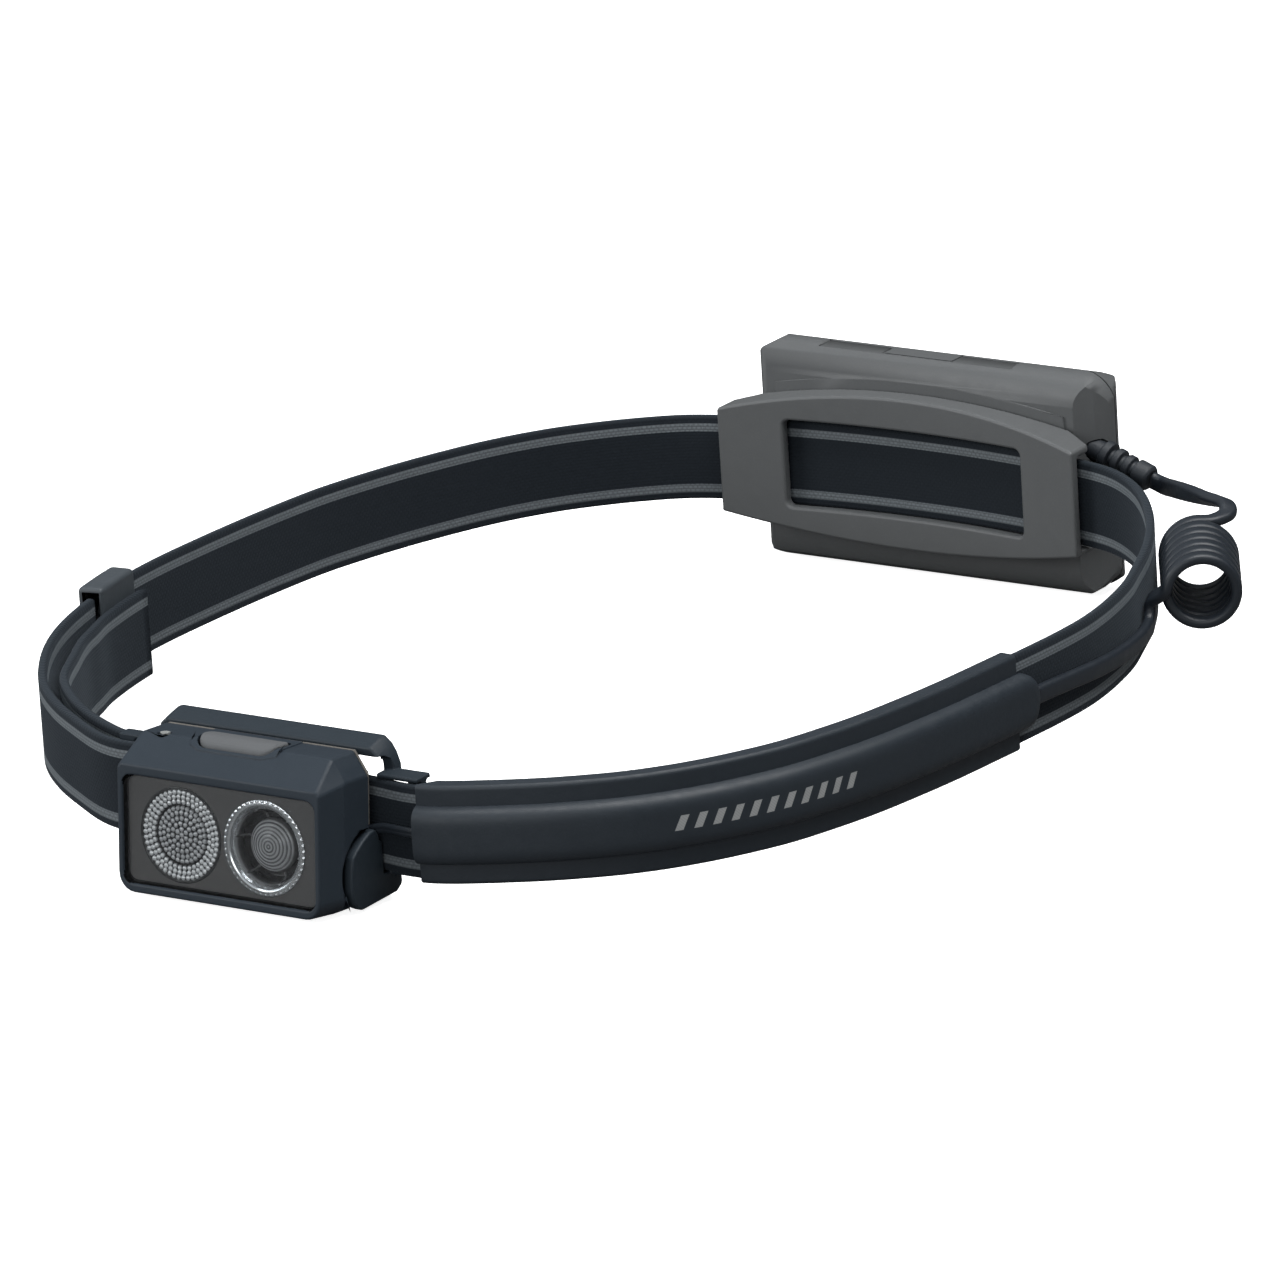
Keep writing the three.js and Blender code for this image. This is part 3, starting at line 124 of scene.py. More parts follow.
def clean_copy(node, name, bevel=0.4, segments=3, angle=28, smooth_angle=34, weld=0.002, select=None, scale_small=True, extra=None, mark=None):
    """A fresh mesh with a CAD node's shape, its flat regions joined, its sharp edges rounded by a bevel of that many mm."""
    bm = bmesh.new()
    bm.from_mesh(CAD[node].data)
    bmesh.ops.remove_doubles(bm, verts=bm.verts, dist=weld / 1000)
    bmesh.ops.dissolve_degenerate(bm, dist=1e-6, edges=bm.edges)
    bmesh.ops.dissolve_limit(bm, angle_limit=math.radians(1.2), use_dissolve_boundaries=False, verts=bm.verts, edges=bm.edges)
    bm.normal_update()
    me = bpy.data.meshes.new(name)
    layer = bm.edges.layers.float.new("bevel_weight_edge")
    if bevel > 0:
        for e in bm.edges:
            if len(e.link_faces) != 2:
                continue
            a = e.calc_face_angle(0.0)
            if extra and extra(e):
                pass
            elif a < math.radians(angle) or (select and not select(e)):
                continue
            w = 1.0
            if scale_small:
                # room for the round: the shortest neighbour that isn't a continuation of this edge
                d = (e.verts[1].co - e.verts[0].co).normalized()
                room = 1e9
                for v in e.verts:
                    for o in v.link_edges:
                        if o is e:
                            continue
                        od = (o.other_vert(v).co - v.co)
                        if od.length > 0 and abs(od.normalized().dot(d)) < 0.8:
                            room = min(room, od.length * 1000)
                w = min(1.0, max(0.12, 0.42 * room / bevel))
            e[layer] = w
    bm.to_mesh(me)
    bm.free()
    ob = new_object(name, me)
    me.polygons.foreach_set("use_smooth", [True] * len(me.polygons))
    if bevel > 0:
        mod = ob.modifiers.new("round", "BEVEL")
        mod.width = bevel / 1000
        mod.segments = segments
        mod.limit_method = "WEIGHT"
        mod.offset_type = "OFFSET"
        mod.use_clamp_overlap = False
        mod.harden_normals = False
        mod.miter_outer = "MITER_ARC"
        dg = bpy.context.evaluated_depsgraph_get()
        made = bpy.data.meshes.new_from_object(ob.evaluated_get(dg))
        ob.modifiers.clear()
        ob.data = made
        made.polygons.foreach_set("use_smooth", [True] * len(made.polygons))
    ob.data.set_sharp_from_angle(angle=math.radians(smooth_angle))
    wn = ob.modifiers.new("weighted", "WEIGHTED_NORMAL")
    wn.keep_sharp = True
    wn.weight = 60
    if mark:                                   # face attribute read by the material: 1 on the faces picked out
        me = ob.data
        c = np.empty(len(me.polygons) * 3, np.float32)
        me.polygons.foreach_get("center", c)
        nn = np.empty(len(me.polygons) * 3, np.float32)
        me.polygons.foreach_get("normal", nn)
        at = me.attributes.new("mark", "FLOAT", "FACE")
        at.data.foreach_set("value", np.asarray(mark(c.reshape(-1, 3), nn.reshape(-1, 3)), np.float32))
    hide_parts(node)
    return ob


class Curve:
    """Open centripetal Catmull-Rom curve through 3-D points, read by length."""

    def __init__(self, pts, per=60):
        P = np.asarray(pts, float)
        P = np.vstack([2 * P[0] - P[1], P, 2 * P[-1] - P[-2]])
        out = []
        for i in range(1, len(P) - 2):
            p0, p1, p2, p3 = P[i - 1], P[i], P[i + 1], P[i + 2]
            d0, d1, d2 = (max(np.linalg.norm(b - a), 1e-9) ** 0.5 for a, b in ((p0, p1), (p1, p2), (p2, p3)))
            t1 = ((p1 - p0) / d0 - (p2 - p0) / (d0 + d1) + (p2 - p1) / d1) * d1
            t2 = ((p2 - p1) / d1 - (p3 - p1) / (d1 + d2) + (p3 - p2) / d2) * d1
            u = np.linspace(0, 1, per, endpoint=False)[:, None]
            out.append(p1 + t1 * u + (-3 * p1 + 3 * p2 - 2 * t1 - t2) * u ** 2 + (2 * p1 - 2 * p2 + t1 + t2) * u ** 3)
        out.append(P[-2][None])
        self.x = np.vstack(out)
        seg = np.linalg.norm(np.diff(self.x, axis=0), axis=1)
        self.s = np.concatenate([[0], np.cumsum(seg)])
        self.length = self.s[-1]
        t = np.gradient(self.x, self.s, axis=0)
        self.t = t / np.linalg.norm(t, axis=1)[:, None]

    def at(self, s):
        s = np.clip(np.asarray(s, float), 0, self.length)
        p = np.stack([np.interp(s, self.s, self.x[:, k]) for k in range(3)], -1)
        t = np.stack([np.interp(s, self.s, self.t[:, k]) for k in range(3)], -1)
        return p, t / np.linalg.norm(t, axis=-1, keepdims=True)


OUTER = [[-18, -92.65], [-8, -92.65], [4, -92.65], [15, -92.65], [20.5, -93.1], [25, -93.85], [28.5, -93.95], [31.8, -93.2], [37.6, -90.5],
         [45.9, -85.7], [51.1, -82], [56, -77.9], [60.4, -73.2], [64.4, -67.8], [68, -61.7], [71.2, -55], [73.7, -47.2], [75.9, -38.5],
         [77.5, -29], [78.8, -19], [79.7, -8.4], [80.5, 2.4], [81.0, 12], [80.9, 20.6], [79.6, 30], [77.2, 39.8], [74.3, 47.6], [71.3, 55.2],
         [68.0, 62.3], [63.6, 70.2], [58.5, 77.8], [53.5, 84], [49, 88.4], [44.3, 91.9], [40, 94.0], [33, 95.7], [22, 97.35], [11, 98.4], [0, 98.7],
         [-11, 98.4], [-22, 97.35], [-33, 95.7], [-39.5, 94.1], [-44.4, 91.9], [-49.8, 88], [-55, 83.3], [-59.9, 77.9], [-64.1, 71.8], [-67.7, 65.1],
         [-70.8, 57.7], [-73.7, 49.6], [-76.1, 41.3], [-78.2, 32], [-79.4, 22], [-80.2, 11.5], [-80.7, 0], [-80.8, -12], [-80, -23], [-78, -34.5],
         [-74.7, -46.4], [-70.8, -55.6], [-65.6, -64.6], [-58.6, -74], [-50.4, -81.6], [-42.2, -87.4], [-34, -92.4], [-29.5, -93.9], [-26.6, -94.0]]
BAND = Curve([[x, y, 0] for x, y in OUTER])
OUT_LEN = BAND.length


def band(s):
    p, t = BAND.at(s)
    n = np.stack([t[..., 1], -t[..., 0], np.zeros_like(t[..., 0])], -1)
    return p, t, n


def band_s(x, y):
    k = int(np.argmin(np.hypot(BAND.x[:, 0] - x, BAND.x[:, 1] - y)))
    return float(BAND.s[k])


def unit(v):
    v = np.asarray(v, float)
    return v / np.linalg.norm(v, axis=-1, keepdims=True)


def sstep(x):
    x = np.clip(x, 0, 1)
    return x * x * (3 - 2 * x)


def sweep(name, sec, P, Nn, B, attrs_sec=None, s_vals=None, cap=True):
    """Carries a closed section (u along N, v along B) along stations; attribute wv = (length, across, side)."""
    sec = np.asarray(sec, float)
    n, m = len(P), len(sec)
    pts = P[:, None, :] + Nn[:, None, :] * sec[None, :, 0, None] + B[:, None, :] * sec[None, :, 1, None]
    faces = grid_faces(n, m)
    if cap:
        faces.append(tuple(range(m)))
        faces.append(tuple((n - 1) * m + j for j in range(m - 1, -1, -1)))
    if s_vals is None:
        s_vals = np.concatenate([[0], np.cumsum(np.linalg.norm(np.diff(P, axis=0), axis=1))])
    wv = np.zeros((n, m, 3))
    wv[..., 0] = s_vals[:, None]
    wv[..., 1] = sec[None, :, 1]
    wv[..., 2] = sec[None, :, 0]
    ob = mesh_object(name, pts.reshape(-1, 3), faces, attrs={"wv": wv.reshape(-1, 3)})
    return ob


def round_section(hu, hv, r, corner=4, along=0):
    """Rounded rectangle, half sizes hu (normal) and hv (across), extra points along the wide faces."""
    out = []
    for cu, cv, a0 in ((hu - r, hv - r, 0), (-hu + r, hv - r, 90), (-hu + r, -hv + r, 180), (hu - r, -hv + r, 270)):
        arc = [(cu + r * math.cos(math.radians(a0 + 90 * i / corner)), cv + r * math.sin(math.radians(a0 + 90 * i / corner))) for i in range(corner + 1)]
        out += arc
        if a0 == 90 and along:
            for i in range(1, along):
                out.append((-hu, (hv - r) * (1 - 2 * i / along)))
        if a0 == 270 and along:
            for i in range(1, along):
                out.append((hu, -(hv - r) * (1 - 2 * i / along)))
    return out


# ------------------------------------------------------------------ material helpers
def lin(c):
    """sRGB 0-255 to linear."""
    v = np.array(c, float) / 255
    return tuple(np.where(v <= 0.04045, v / 12.92, ((v + 0.055) / 1.055) ** 2.4)) + (1.0,)


class Mat:
    def __init__(self, name):
        self.m = bpy.data.materials.new(name)
        self.m.use_nodes = True
        self.nt = self.m.node_tree
        self.nt.nodes.clear()
        self.out = self.nt.nodes.new("ShaderNodeOutputMaterial")

    def node(self, kind, inputs=None, **props):
        n = self.nt.nodes.new(kind)
        for k, v in props.items():
            setattr(n, k, v)
        for k, v in (inputs or {}).items():
            self.put(n.inputs[k], v)
        return n

    def put(self, sock, v):
        if isinstance(v, bpy.types.NodeSocket):
            self.nt.links.new(v, sock)
        elif v is not None:
            sock.default_value = v

    def math(self, op, a, b=None, c=None, clamp=False):
        n = self.nt.nodes.new("ShaderNodeMath")
        n.operation = op
        n.use_clamp = clamp
        for i, v in enumerate((a, b, c)):
            if v is not None:
                self.put(n.inputs[i], v)
        return n.outputs[0]

    def mix(self, f, a, b):
        n = self.nt.nodes.new("ShaderNodeMix")
        n.data_type = "RGBA"
        self.put(n.inputs[0], f)
        self.put(n.inputs[6], a)
        self.put(n.inputs[7], b)
        return n.outputs[2]

    def step(self, x, lo, hi, a=0.0, b=1.0):
        n = self.nt.nodes.new("ShaderNodeMapRange")
        n.interpolation_type = "SMOOTHSTEP"
        self.put(n.inputs[0], x)
        for i, v in zip((1, 2, 3, 4), (lo, hi, a, b)):
            self.put(n.inputs[i], v)
        return n.outputs[0]

    def noise(self, scale, detail=2.0, rough=0.5, vec=None):
        if vec is None:
            vec = self.coord()
        n = self.node("ShaderNodeTexNoise", {"Vector": vec, "Scale": scale, "Detail": detail, "Roughness": rough})
        return n.outputs[0]

    def coord(self):
        return self.node("ShaderNodeTexCoord").outputs["Object"]

    def attr(self, name):
        return self.node("ShaderNodeAttribute", attribute_name=name)

    def bump(self, height, dist_mm, strength=1.0, normal=None):
        n = self.node("ShaderNodeBump", {"Height": height, "Distance": dist_mm / 1000, "Strength": strength})
        if normal is not None:
            self.put(n.inputs["Normal"], normal)
        return n.outputs[0]

    def principled(self, **kw):
        n = self.nt.nodes.new("ShaderNodeBsdfPrincipled")
        for k, v in kw.items():
            self.put(n.inputs[k.replace("_", " ")], v)
        self.nt.links.new(n.outputs[0], self.out.inputs[0])
        return n


def plastic(name, rgb, rough=0.5, grain=0.02, grain_scale=3200, vary=0.1, spec=0.5, wear=0.0, coat=0.0, recess_shade_rgb=None):
    """Moulded plastic: fine spark-eroded grain, cloudy tone and sheen changes, slightly paler worn spots, and, where a
    colour is given, painted shade on the faces picked by the mark attribute.
    """
    m = Mat(name)
    big = m.noise(55, 3)
    mid = m.noise(420, 3, 0.6)
    fine = m.noise(grain_scale, 2, 0.6)
    c = lin(rgb)
    dark = tuple(x * (1 - vary) for x in c[:3]) + (1,)
    light = tuple(min(1, x * (1 + vary)) for x in c[:3]) + (1,)
    col = m.mix(m.math("ADD", m.math("MULTIPLY", big, 0.6), m.math("MULTIPLY", mid, 0.4), clamp=True), dark, light)
    col = m.mix(m.math("MULTIPLY", m.step(fine, 0.56, 0.75), 0.10), col, tuple(min(1, x * 1.6 + 0.01) for x in c[:3]) + (1,))
    if wear:
        w = m.math("MULTIPLY", m.step(m.noise(900, 5, 0.7), 0.62, 0.72), wear)
        col = m.mix(w, col, tuple(min(1, x * 1.8 + 0.02) for x in c[:3]) + (1,))
    r = m.step(mid, 0.2, 0.8, rough - 0.05, rough + 0.07)
    h = m.math("ADD", m.math("MULTIPLY", fine, 1.0), m.math("MULTIPLY", mid, 0.35))
    # painted shade: faces picked by the mark attribute take the given near-black colour and lose most of their
    # specular, standing in for the shadow inside the window opening
    if recess_shade_rgb:
        k = m.attr("mark").outputs["Fac"]
        col = m.mix(k, col, lin(recess_shade_rgb))
        spec = m.math("MULTIPLY", m.math("SUBTRACT", 1.0, m.math("MULTIPLY", k, 0.85)), spec)
    p = m.principled(Base_Color=col, Roughness=r, Normal=m.bump(h, grain, 1.0))
    m.put(p.inputs["Specular IOR Level"], spec)
    if coat:
        p.inputs["Coat Weight"].default_value = coat
        p.inputs["Coat Roughness"].default_value = 0.2
    return m.m


def metal(name, rgb, rough=0.3, brushed=True):
    m = Mat(name)
    sc = m.node("ShaderNodeMapping", {"Vector": m.coord(), "Scale": (300, 4000, 4000) if brushed else (2500, 2500, 2500)})
    n = m.node("ShaderNodeTexNoise", {"Vector": sc.outputs[0], "Scale": 1.0, "Detail": 3.0}).outputs[0]
    col = m.mix(m.step(m.noise(500, 3), 0.35, 0.65), tuple(x * 0.86 for x in lin(rgb)[:3]) + (1,), lin(rgb))
    m.principled(Base_Color=col, Metallic=1.0, Roughness=m.step(n, 0.2, 0.8, rough - 0.08, rough + 0.12), Normal=m.bump(n, 0.006))
    return m.m


def webbing(name, base, stripe, inner_dim=1.0):
    """Woven band: rows of small picks with painted shade in the gaps between them, paler reflective stripes near both
    edges, fine side cords.
    """
    m = Mat(name)
    a = m.attr("wv")
    sep = m.node("ShaderNodeSeparateXYZ", {"Vector": a.outputs["Vector"]})
    s, v = sep.outputs[0], sep.outputs[1]
    row = m.math("DIVIDE", v, 0.56)
    rowi = m.math("FLOOR", row)
    fv = m.math("FRACT", row)
    fs = m.math("FRACT", m.math("ADD", m.math("DIVIDE", s, 0.84), m.math("MULTIPLY", rowi, 0.5)))
    bv = m.math("MULTIPLY", m.math("MULTIPLY", fv, m.math("SUBTRACT", 1.0, fv)), 4.0)
    bs = m.math("POWER", m.math("MULTIPLY", m.math("MULTIPLY", fs, m.math("SUBTRACT", 1.0, fs)), 4.0), 0.55)
    weave = m.math("MULTIPLY", bv, bs)
    av = m.math("ABSOLUTE", v)
    mask = m.math("MULTIPLY", m.step(av, 4.66, 4.84), m.step(av, 6.12, 6.30, 1.0, 0.0))
    fleck = m.noise(2600, 2)
    cloud = m.noise(90, 3)
    b, st = lin(base), lin(stripe)
    # painted shade: body and stripe colours are darker in the gaps between picks and lighter on their crests
    body = m.mix(m.math("MULTIPLY", weave, 0.55), tuple(x * 0.78 for x in b[:3]) + (1,), tuple(x * 1.18 for x in b[:3]) + (1,))
    body = m.mix(m.math("MULTIPLY", cloud, 0.35), body, tuple(x * 0.8 for x in b[:3]) + (1,))
    stc = m.mix(m.math("MULTIPLY", weave, 0.8), tuple(x * 0.62 for x in st[:3]) + (1,), tuple(min(1, x * 1.25) for x in st[:3]) + (1,))
    stc = m.mix(m.math("MULTIPLY", m.step(fleck, 0.5, 0.7), 0.5), stc, tuple(x * 0.5 for x in st[:3]) + (1,))
    col = m.mix(mask, body, stc)
    edge = m.step(av, 6.95, 7.35)
    cord = m.math("MULTIPLY", edge, m.math("ADD", m.math("MULTIPLY", m.math("SINE", m.math("MULTIPLY", s, 7.2)), 0.5), 0.5))
    h = m.math("ADD", weave, m.math("ADD", m.math("MULTIPLY", fleck, 0.35), m.math("MULTIPLY", cord, 0.6)))
    rough = m.mix(mask, (0.82, 0.82, 0.82, 1), (0.52, 0.52, 0.52, 1))
    p = m.principled(Base_Color=col, Roughness=m.node("ShaderNodeSeparateColor", {0: rough}).outputs[0], Normal=m.bump(h, 0.045, 0.9))
    p.inputs["Specular IOR Level"].default_value = 0.25
    p.inputs["Sheen Weight"].default_value = 0.12
    p.inputs["Sheen Roughness"].default_value = 0.5
    p.inputs["Sheen Tint"].default_value = (0.55, 0.65, 0.75, 1)
    return m.m


# colours, sRGB 0-255
NAVY = (42, 50, 58)
M = {}
# the housing's walls inside the window opening are coloured (9, 10, 12): painted shade for the shadowed recess
M["navy"] = plastic("housing_navy", NAVY, 0.5, grain=0.010, vary=0.07, wear=0.08, spec=0.26, recess_shade_rgb=(9, 10, 12))
M["navy_bracket"] = plastic("bracket_navy", (38, 46, 53), 0.52, grain=0.014, vary=0.08, wear=0.1, spec=0.28)
M["rear"] = plastic("rear_plastic", (32, 38, 45), 0.5, grain=0.014, spec=0.3)
M["grey"] = plastic("grey_plastic", (88, 90, 91), 0.5, grain=0.012, grain_scale=2600, vary=0.05, wear=0.06)
M["button"] = plastic("button_rubber", (90, 92, 94), 0.72, grain=0.02, vary=0.06, spec=0.3)
M["slider"] = plastic("slider_navy", (64, 70, 75), 0.5, grain=0.012, vary=0.07, wear=0.08)
M["seal"] = plastic("seal_grey", (100, 97, 93), 0.75, grain=0.012, vary=0.1, spec=0.3)
M["foam"] = plastic("pad_foam", (38, 42, 47), 0.95, grain=0.16, grain_scale=1300, vary=0.25, spec=0.15)
M["cable"] = plastic("cable_jacket", (32, 38, 45), 0.42, grain=0.006, vary=0.12, wear=0.12, spec=0.5)
M["boot"] = plastic("boot_rubber", (34, 39, 45), 0.55, grain=0.012, vary=0.1)
M["trim"] = plastic("trim_dark", (88, 86, 85), 0.5, grain=0.006, vary=0.06)
M["pcb"] = plastic("circuit_board", (30, 74, 46), 0.45, grain=0.01, vary=0.2)
M["steel"] = metal("steel", (176, 178, 182), 0.3)
M["alu"] = metal("aluminium", (190, 192, 194), 0.38)
M["cell"] = plastic("cell_jacket", (62, 104, 150), 0.3, grain=0.003, vary=0.1)
M["emitter"] = plastic("emitter", (232, 205, 92), 0.4, grain=0.005, vary=0.08)
M["pipe"] = plastic("light_pipe", (150, 152, 150), 0.25, grain=0.002, vary=0.04)
M["webbing"] = webbing("webbing", (25, 32, 39), (108, 114, 118))


def window_material():
    """Clear pane: passes light straight through, mirrors a little, faint dust."""
    m = Mat("window_clear")
    fres = m.node("ShaderNodeFresnel", {"IOR": 1.46}).outputs[0]
    dust = m.step(m.noise(1700, 4, 0.7), 0.60, 0.78, 0.0, 0.035)
    f = m.math("ADD", m.math("MULTIPLY", fres, 0.85), dust, clamp=True)
    f = m.math("MULTIPLY", f, m.math("SUBTRACT", 1.0, m.attr("mark").outputs["Fac"]))   # the pane's narrow sides show nothing
    tr = m.node("ShaderNodeBsdfTransparent", {"Color": (0.95, 0.96, 0.965, 1)})
    gl = m.node("ShaderNodeBsdfGlossy", {"Color": (0.9, 0.92, 0.94, 1), "Roughness": m.step(m.noise(300, 2), 0.3, 0.7, 0.03, 0.07)})
    mx = m.node("ShaderNodeMixShader", {0: f, 1: tr.outputs[0], 2: gl.outputs[0]})
    m.nt.links.new(mx.outputs[0], m.out.inputs[0])
    return m.m


def optic_material(name, spot):
    """Moulded reflector optic: silvered beads with painted highlights on their crests and painted shade between them,
    or a bright rim, a throat coloured near-black as painted shade with spokes given painted highlights, and a lens
    whose rings carry painted highlights and shade; by the radius attribute rr = (radius, angle, height).
    """
    m = Mat(name)
    a = m.attr("rr")
    sep = m.node("ShaderNodeSeparateXYZ", {"Vector": a.outputs["Vector"]})
    r, h = sep.outputs[0], sep.outputs[2]
    if spot:
        rim = m.step(r, 5.62, 5.9)
        # painted shade: the deep throat is coloured near-black, and its spokes get a paler colour as painted highlight
        throat = m.math("MULTIPLY", m.step(r, 4.14, 4.22), m.step(r, 5.45, 5.75, 1.0, 0.0))
        spoke = m.step(h, 0.35, 0.65)
        # painted highlight and shade: the lens rings are paler on their crests and darker between them, and the lens
        # edge where it drops into the throat is darkened
        lens = m.mix(m.step(h, 0.1, 0.8), (0.10, 0.10, 0.102, 1), (0.42, 0.42, 0.425, 1))
        lens = m.mix(m.step(r, 3.7, 4.1), lens, (0.09, 0.09, 0.09, 1))
        col = m.mix(rim, lens, (0.88, 0.89, 0.90, 1))
        col = m.mix(throat, col, (0.016, 0.016, 0.017, 1))
        col = m.mix(m.math("MULTIPLY", throat, spoke), col, (0.17, 0.17, 0.17, 1))
        met = m.math("MULTIPLY", rim, 0.85)
        rough = m.step(r, 3.4, 6.2, 0.20, 0.12)
    else:
        # painted highlight and shade: bead crests are coloured bright and the gaps between beads near-black, brighter
        # still in the outer rows
        bead = m.step(h, 0.12, 0.8)
        col = m.mix(bead, (0.022, 0.022, 0.023, 1), (0.62, 0.62, 0.625, 1))
        col = m.mix(m.step(r, 4.6, 4.9), col, m.mix(bead, (0.05, 0.05, 0.05, 1), (0.90, 0.90, 0.90, 1)))
        # painted shade: the groove between the middle disc and the outer rows is coloured near-black
        ring = m.math("MULTIPLY", m.step(r, 4.42, 4.50), m.step(r, 4.70, 4.78, 1.0, 0.0))
        col = m.mix(ring, col, (0.02, 0.02, 0.02, 1))
        met = 0.35
        rough = m.step(m.noise(2400, 2), 0.3, 0.7, 0.12, 0.2)
    fine = m.noise(5200, 2)
    m.principled(Base_Color=col, Metallic=met, Roughness=rough, Normal=m.bump(fine, 0.002))
    return m.m


def sleeve_material():
    """Dark rubbery sleeve with a leather-like grain and a short run of pale slanted dashes."""
    m = Mat("sleeve_rubber")
    a = m.attr("wv")
    sep = m.node("ShaderNodeSeparateXYZ", {"Vector": a.outputs["Vector"]})
    s, v, side = sep.outputs[0], sep.outputs[1], sep.outputs[2]
    c = lin((38, 45, 52))
    big, mid, fine = m.noise(60, 3), m.noise(520, 3, 0.65), m.noise(2100, 3, 0.7)
    col = m.mix(m.math("ADD", m.math("MULTIPLY", big, 0.5), m.math("MULTIPLY", mid, 0.5)), tuple(x * 0.86 for x in c[:3]) + (1,), tuple(x * 1.16 for x in c[:3]) + (1,))
    col = m.mix(m.math("MULTIPLY", m.step(fine, 0.58, 0.72), 0.12), col, tuple(x * 1.9 for x in c[:3]) + (1,))
    # slanted dashes: ten short bars on the outer face only
    s0, pitch = S_MARK0, 3.0
    q = m.math("DIVIDE", m.math("SUBTRACT", m.math("SUBTRACT", s, s0), m.math("MULTIPLY", v, 0.45)), pitch)
    fr_ = m.math("FRACT", q)
    bar = m.math("MULTIPLY", m.step(fr_, 0.26, 0.30), m.step(fr_, 0.70, 0.74, 1.0, 0.0))
    run = m.math("MULTIPLY", m.math("GREATER_THAN", q, 0.0), m.math("LESS_THAN", q, 11.0))
    band_ = m.math("MULTIPLY", m.step(v, -1.25, -1.15), m.step(v, 1.15, 1.25, 1.0, 0.0))
    outer = m.math("GREATER_THAN", side, 2.2)
    mark = m.math("MULTIPLY", m.math("MULTIPLY", bar, run), m.math("MULTIPLY", band_, outer))
    dot = m.step(m.math("FRACT", m.math("MULTIPLY", m.math("ADD", s, v), 1.9)), 0.1, 0.3, 0.75, 1.0)
    col = m.mix(m.math("MULTIPLY", mark, dot), col, lin((158, 160, 160)))
    rough = m.step(mid, 0.25, 0.75, 0.44, 0.58)
    h = m.math("ADD", fine, m.math("MULTIPLY", mid, 0.6))
    p = m.principled(Base_Color=col, Roughness=rough, Normal=m.bump(h, 0.022, 1.0))
    p.inputs["Specular IOR Level"].default_value = 0.42
    return m.m


def paint(ob, mat):
    ob.data.materials.clear()
    ob.data.materials.append(mat)
    return ob


# ------------------------------------------------------------------ stations of the band's fittings
S_SL0, S_SL1, S_BULGE1 = band_s(28.9, -94), band_s(80.2, -2.2), band_s(80.7, 1.6)
S_SLIDER, S_TAB = band_s(-79.3, -28.5), band_s(-80.4, -22.0)
S_MARK0 = band_s(60.5, -73.0)


# ------------------------------------------------------------------ headband: outer layer, and the inner layer that runs back to the slider
WEB = round_section(0.75, 7.5, 0.5, corner=3, along=10)


def strap_frames(st):
    st = np.asarray(st, float)
    t = np.gradient(st, axis=0)
    t[:, 2] = 0
    t = unit(t)
    n = np.stack([t[:, 1], -t[:, 0], np.zeros(len(t))], -1)
    return st, n, np.tile([0.0, 0.0, 1.0], (len(st), 1))


n_out = int(OUT_LEN / 2.0)
outer_pts = band(np.linspace(0, OUT_LEN, n_out + 1))[0]
fold = [(-26.6 + 2.0 * math.cos(math.radians(-90 + 180 * i / 16)), -92.0 + 2.0 * math.sin(math.radians(-90 + 180 * i / 16)), 0) for i in range(1, 16)]
K = [[0, 4.0], [0.05, 3.75], [0.2, 2.9], [0.42, 3.4], [0.6, 4.5], [0.74, 4.2], [0.86, 3.3], [1, 3.3]]


def tail_offset(f):
    for (f0, d0), (f1, d1) in zip(K, K[1:]):
        if f <= f1:
            return d0 + (d1 - d0) * float(sstep((f - f0) / (f1 - f0)))
    return K[-1][1]


n_in = int((OUT_LEN - S_TAB) / 2.0)
inner_pts = []
for i in range(n_in + 1):
    f = i / n_in
    p, t, n = band(OUT_LEN + (S_TAB - OUT_LEN) * f)
    q = p - n * tail_offset(f)
    q[2] = -2.0 * min(1, max(0, (f - 0.25) / 0.6)) ** 1.3
    inner_pts.append(q)
first = np.vstack([outer_pts, np.array(fold)])
strap_main = sweep("strap_outer_layer", WEB, *strap_frames(first))
both = np.vstack([first, np.array(inner_pts)])
P, Nn, B = strap_frames(both)
k0 = len(first) - 1
s_all = np.concatenate([[0], np.cumsum(np.linalg.norm(np.diff(P, axis=0), axis=1))])
strap_tail = sweep("strap_inner_layer", WEB, P[k0:], Nn[k0:], B[k0:], s_vals=s_all[k0:])
for ob in (strap_main, strap_tail):
    paint(ob, M["webbing"])
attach(strap_main, "band")
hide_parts("head_strap")
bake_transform(strap_tail)
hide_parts("head_strap")


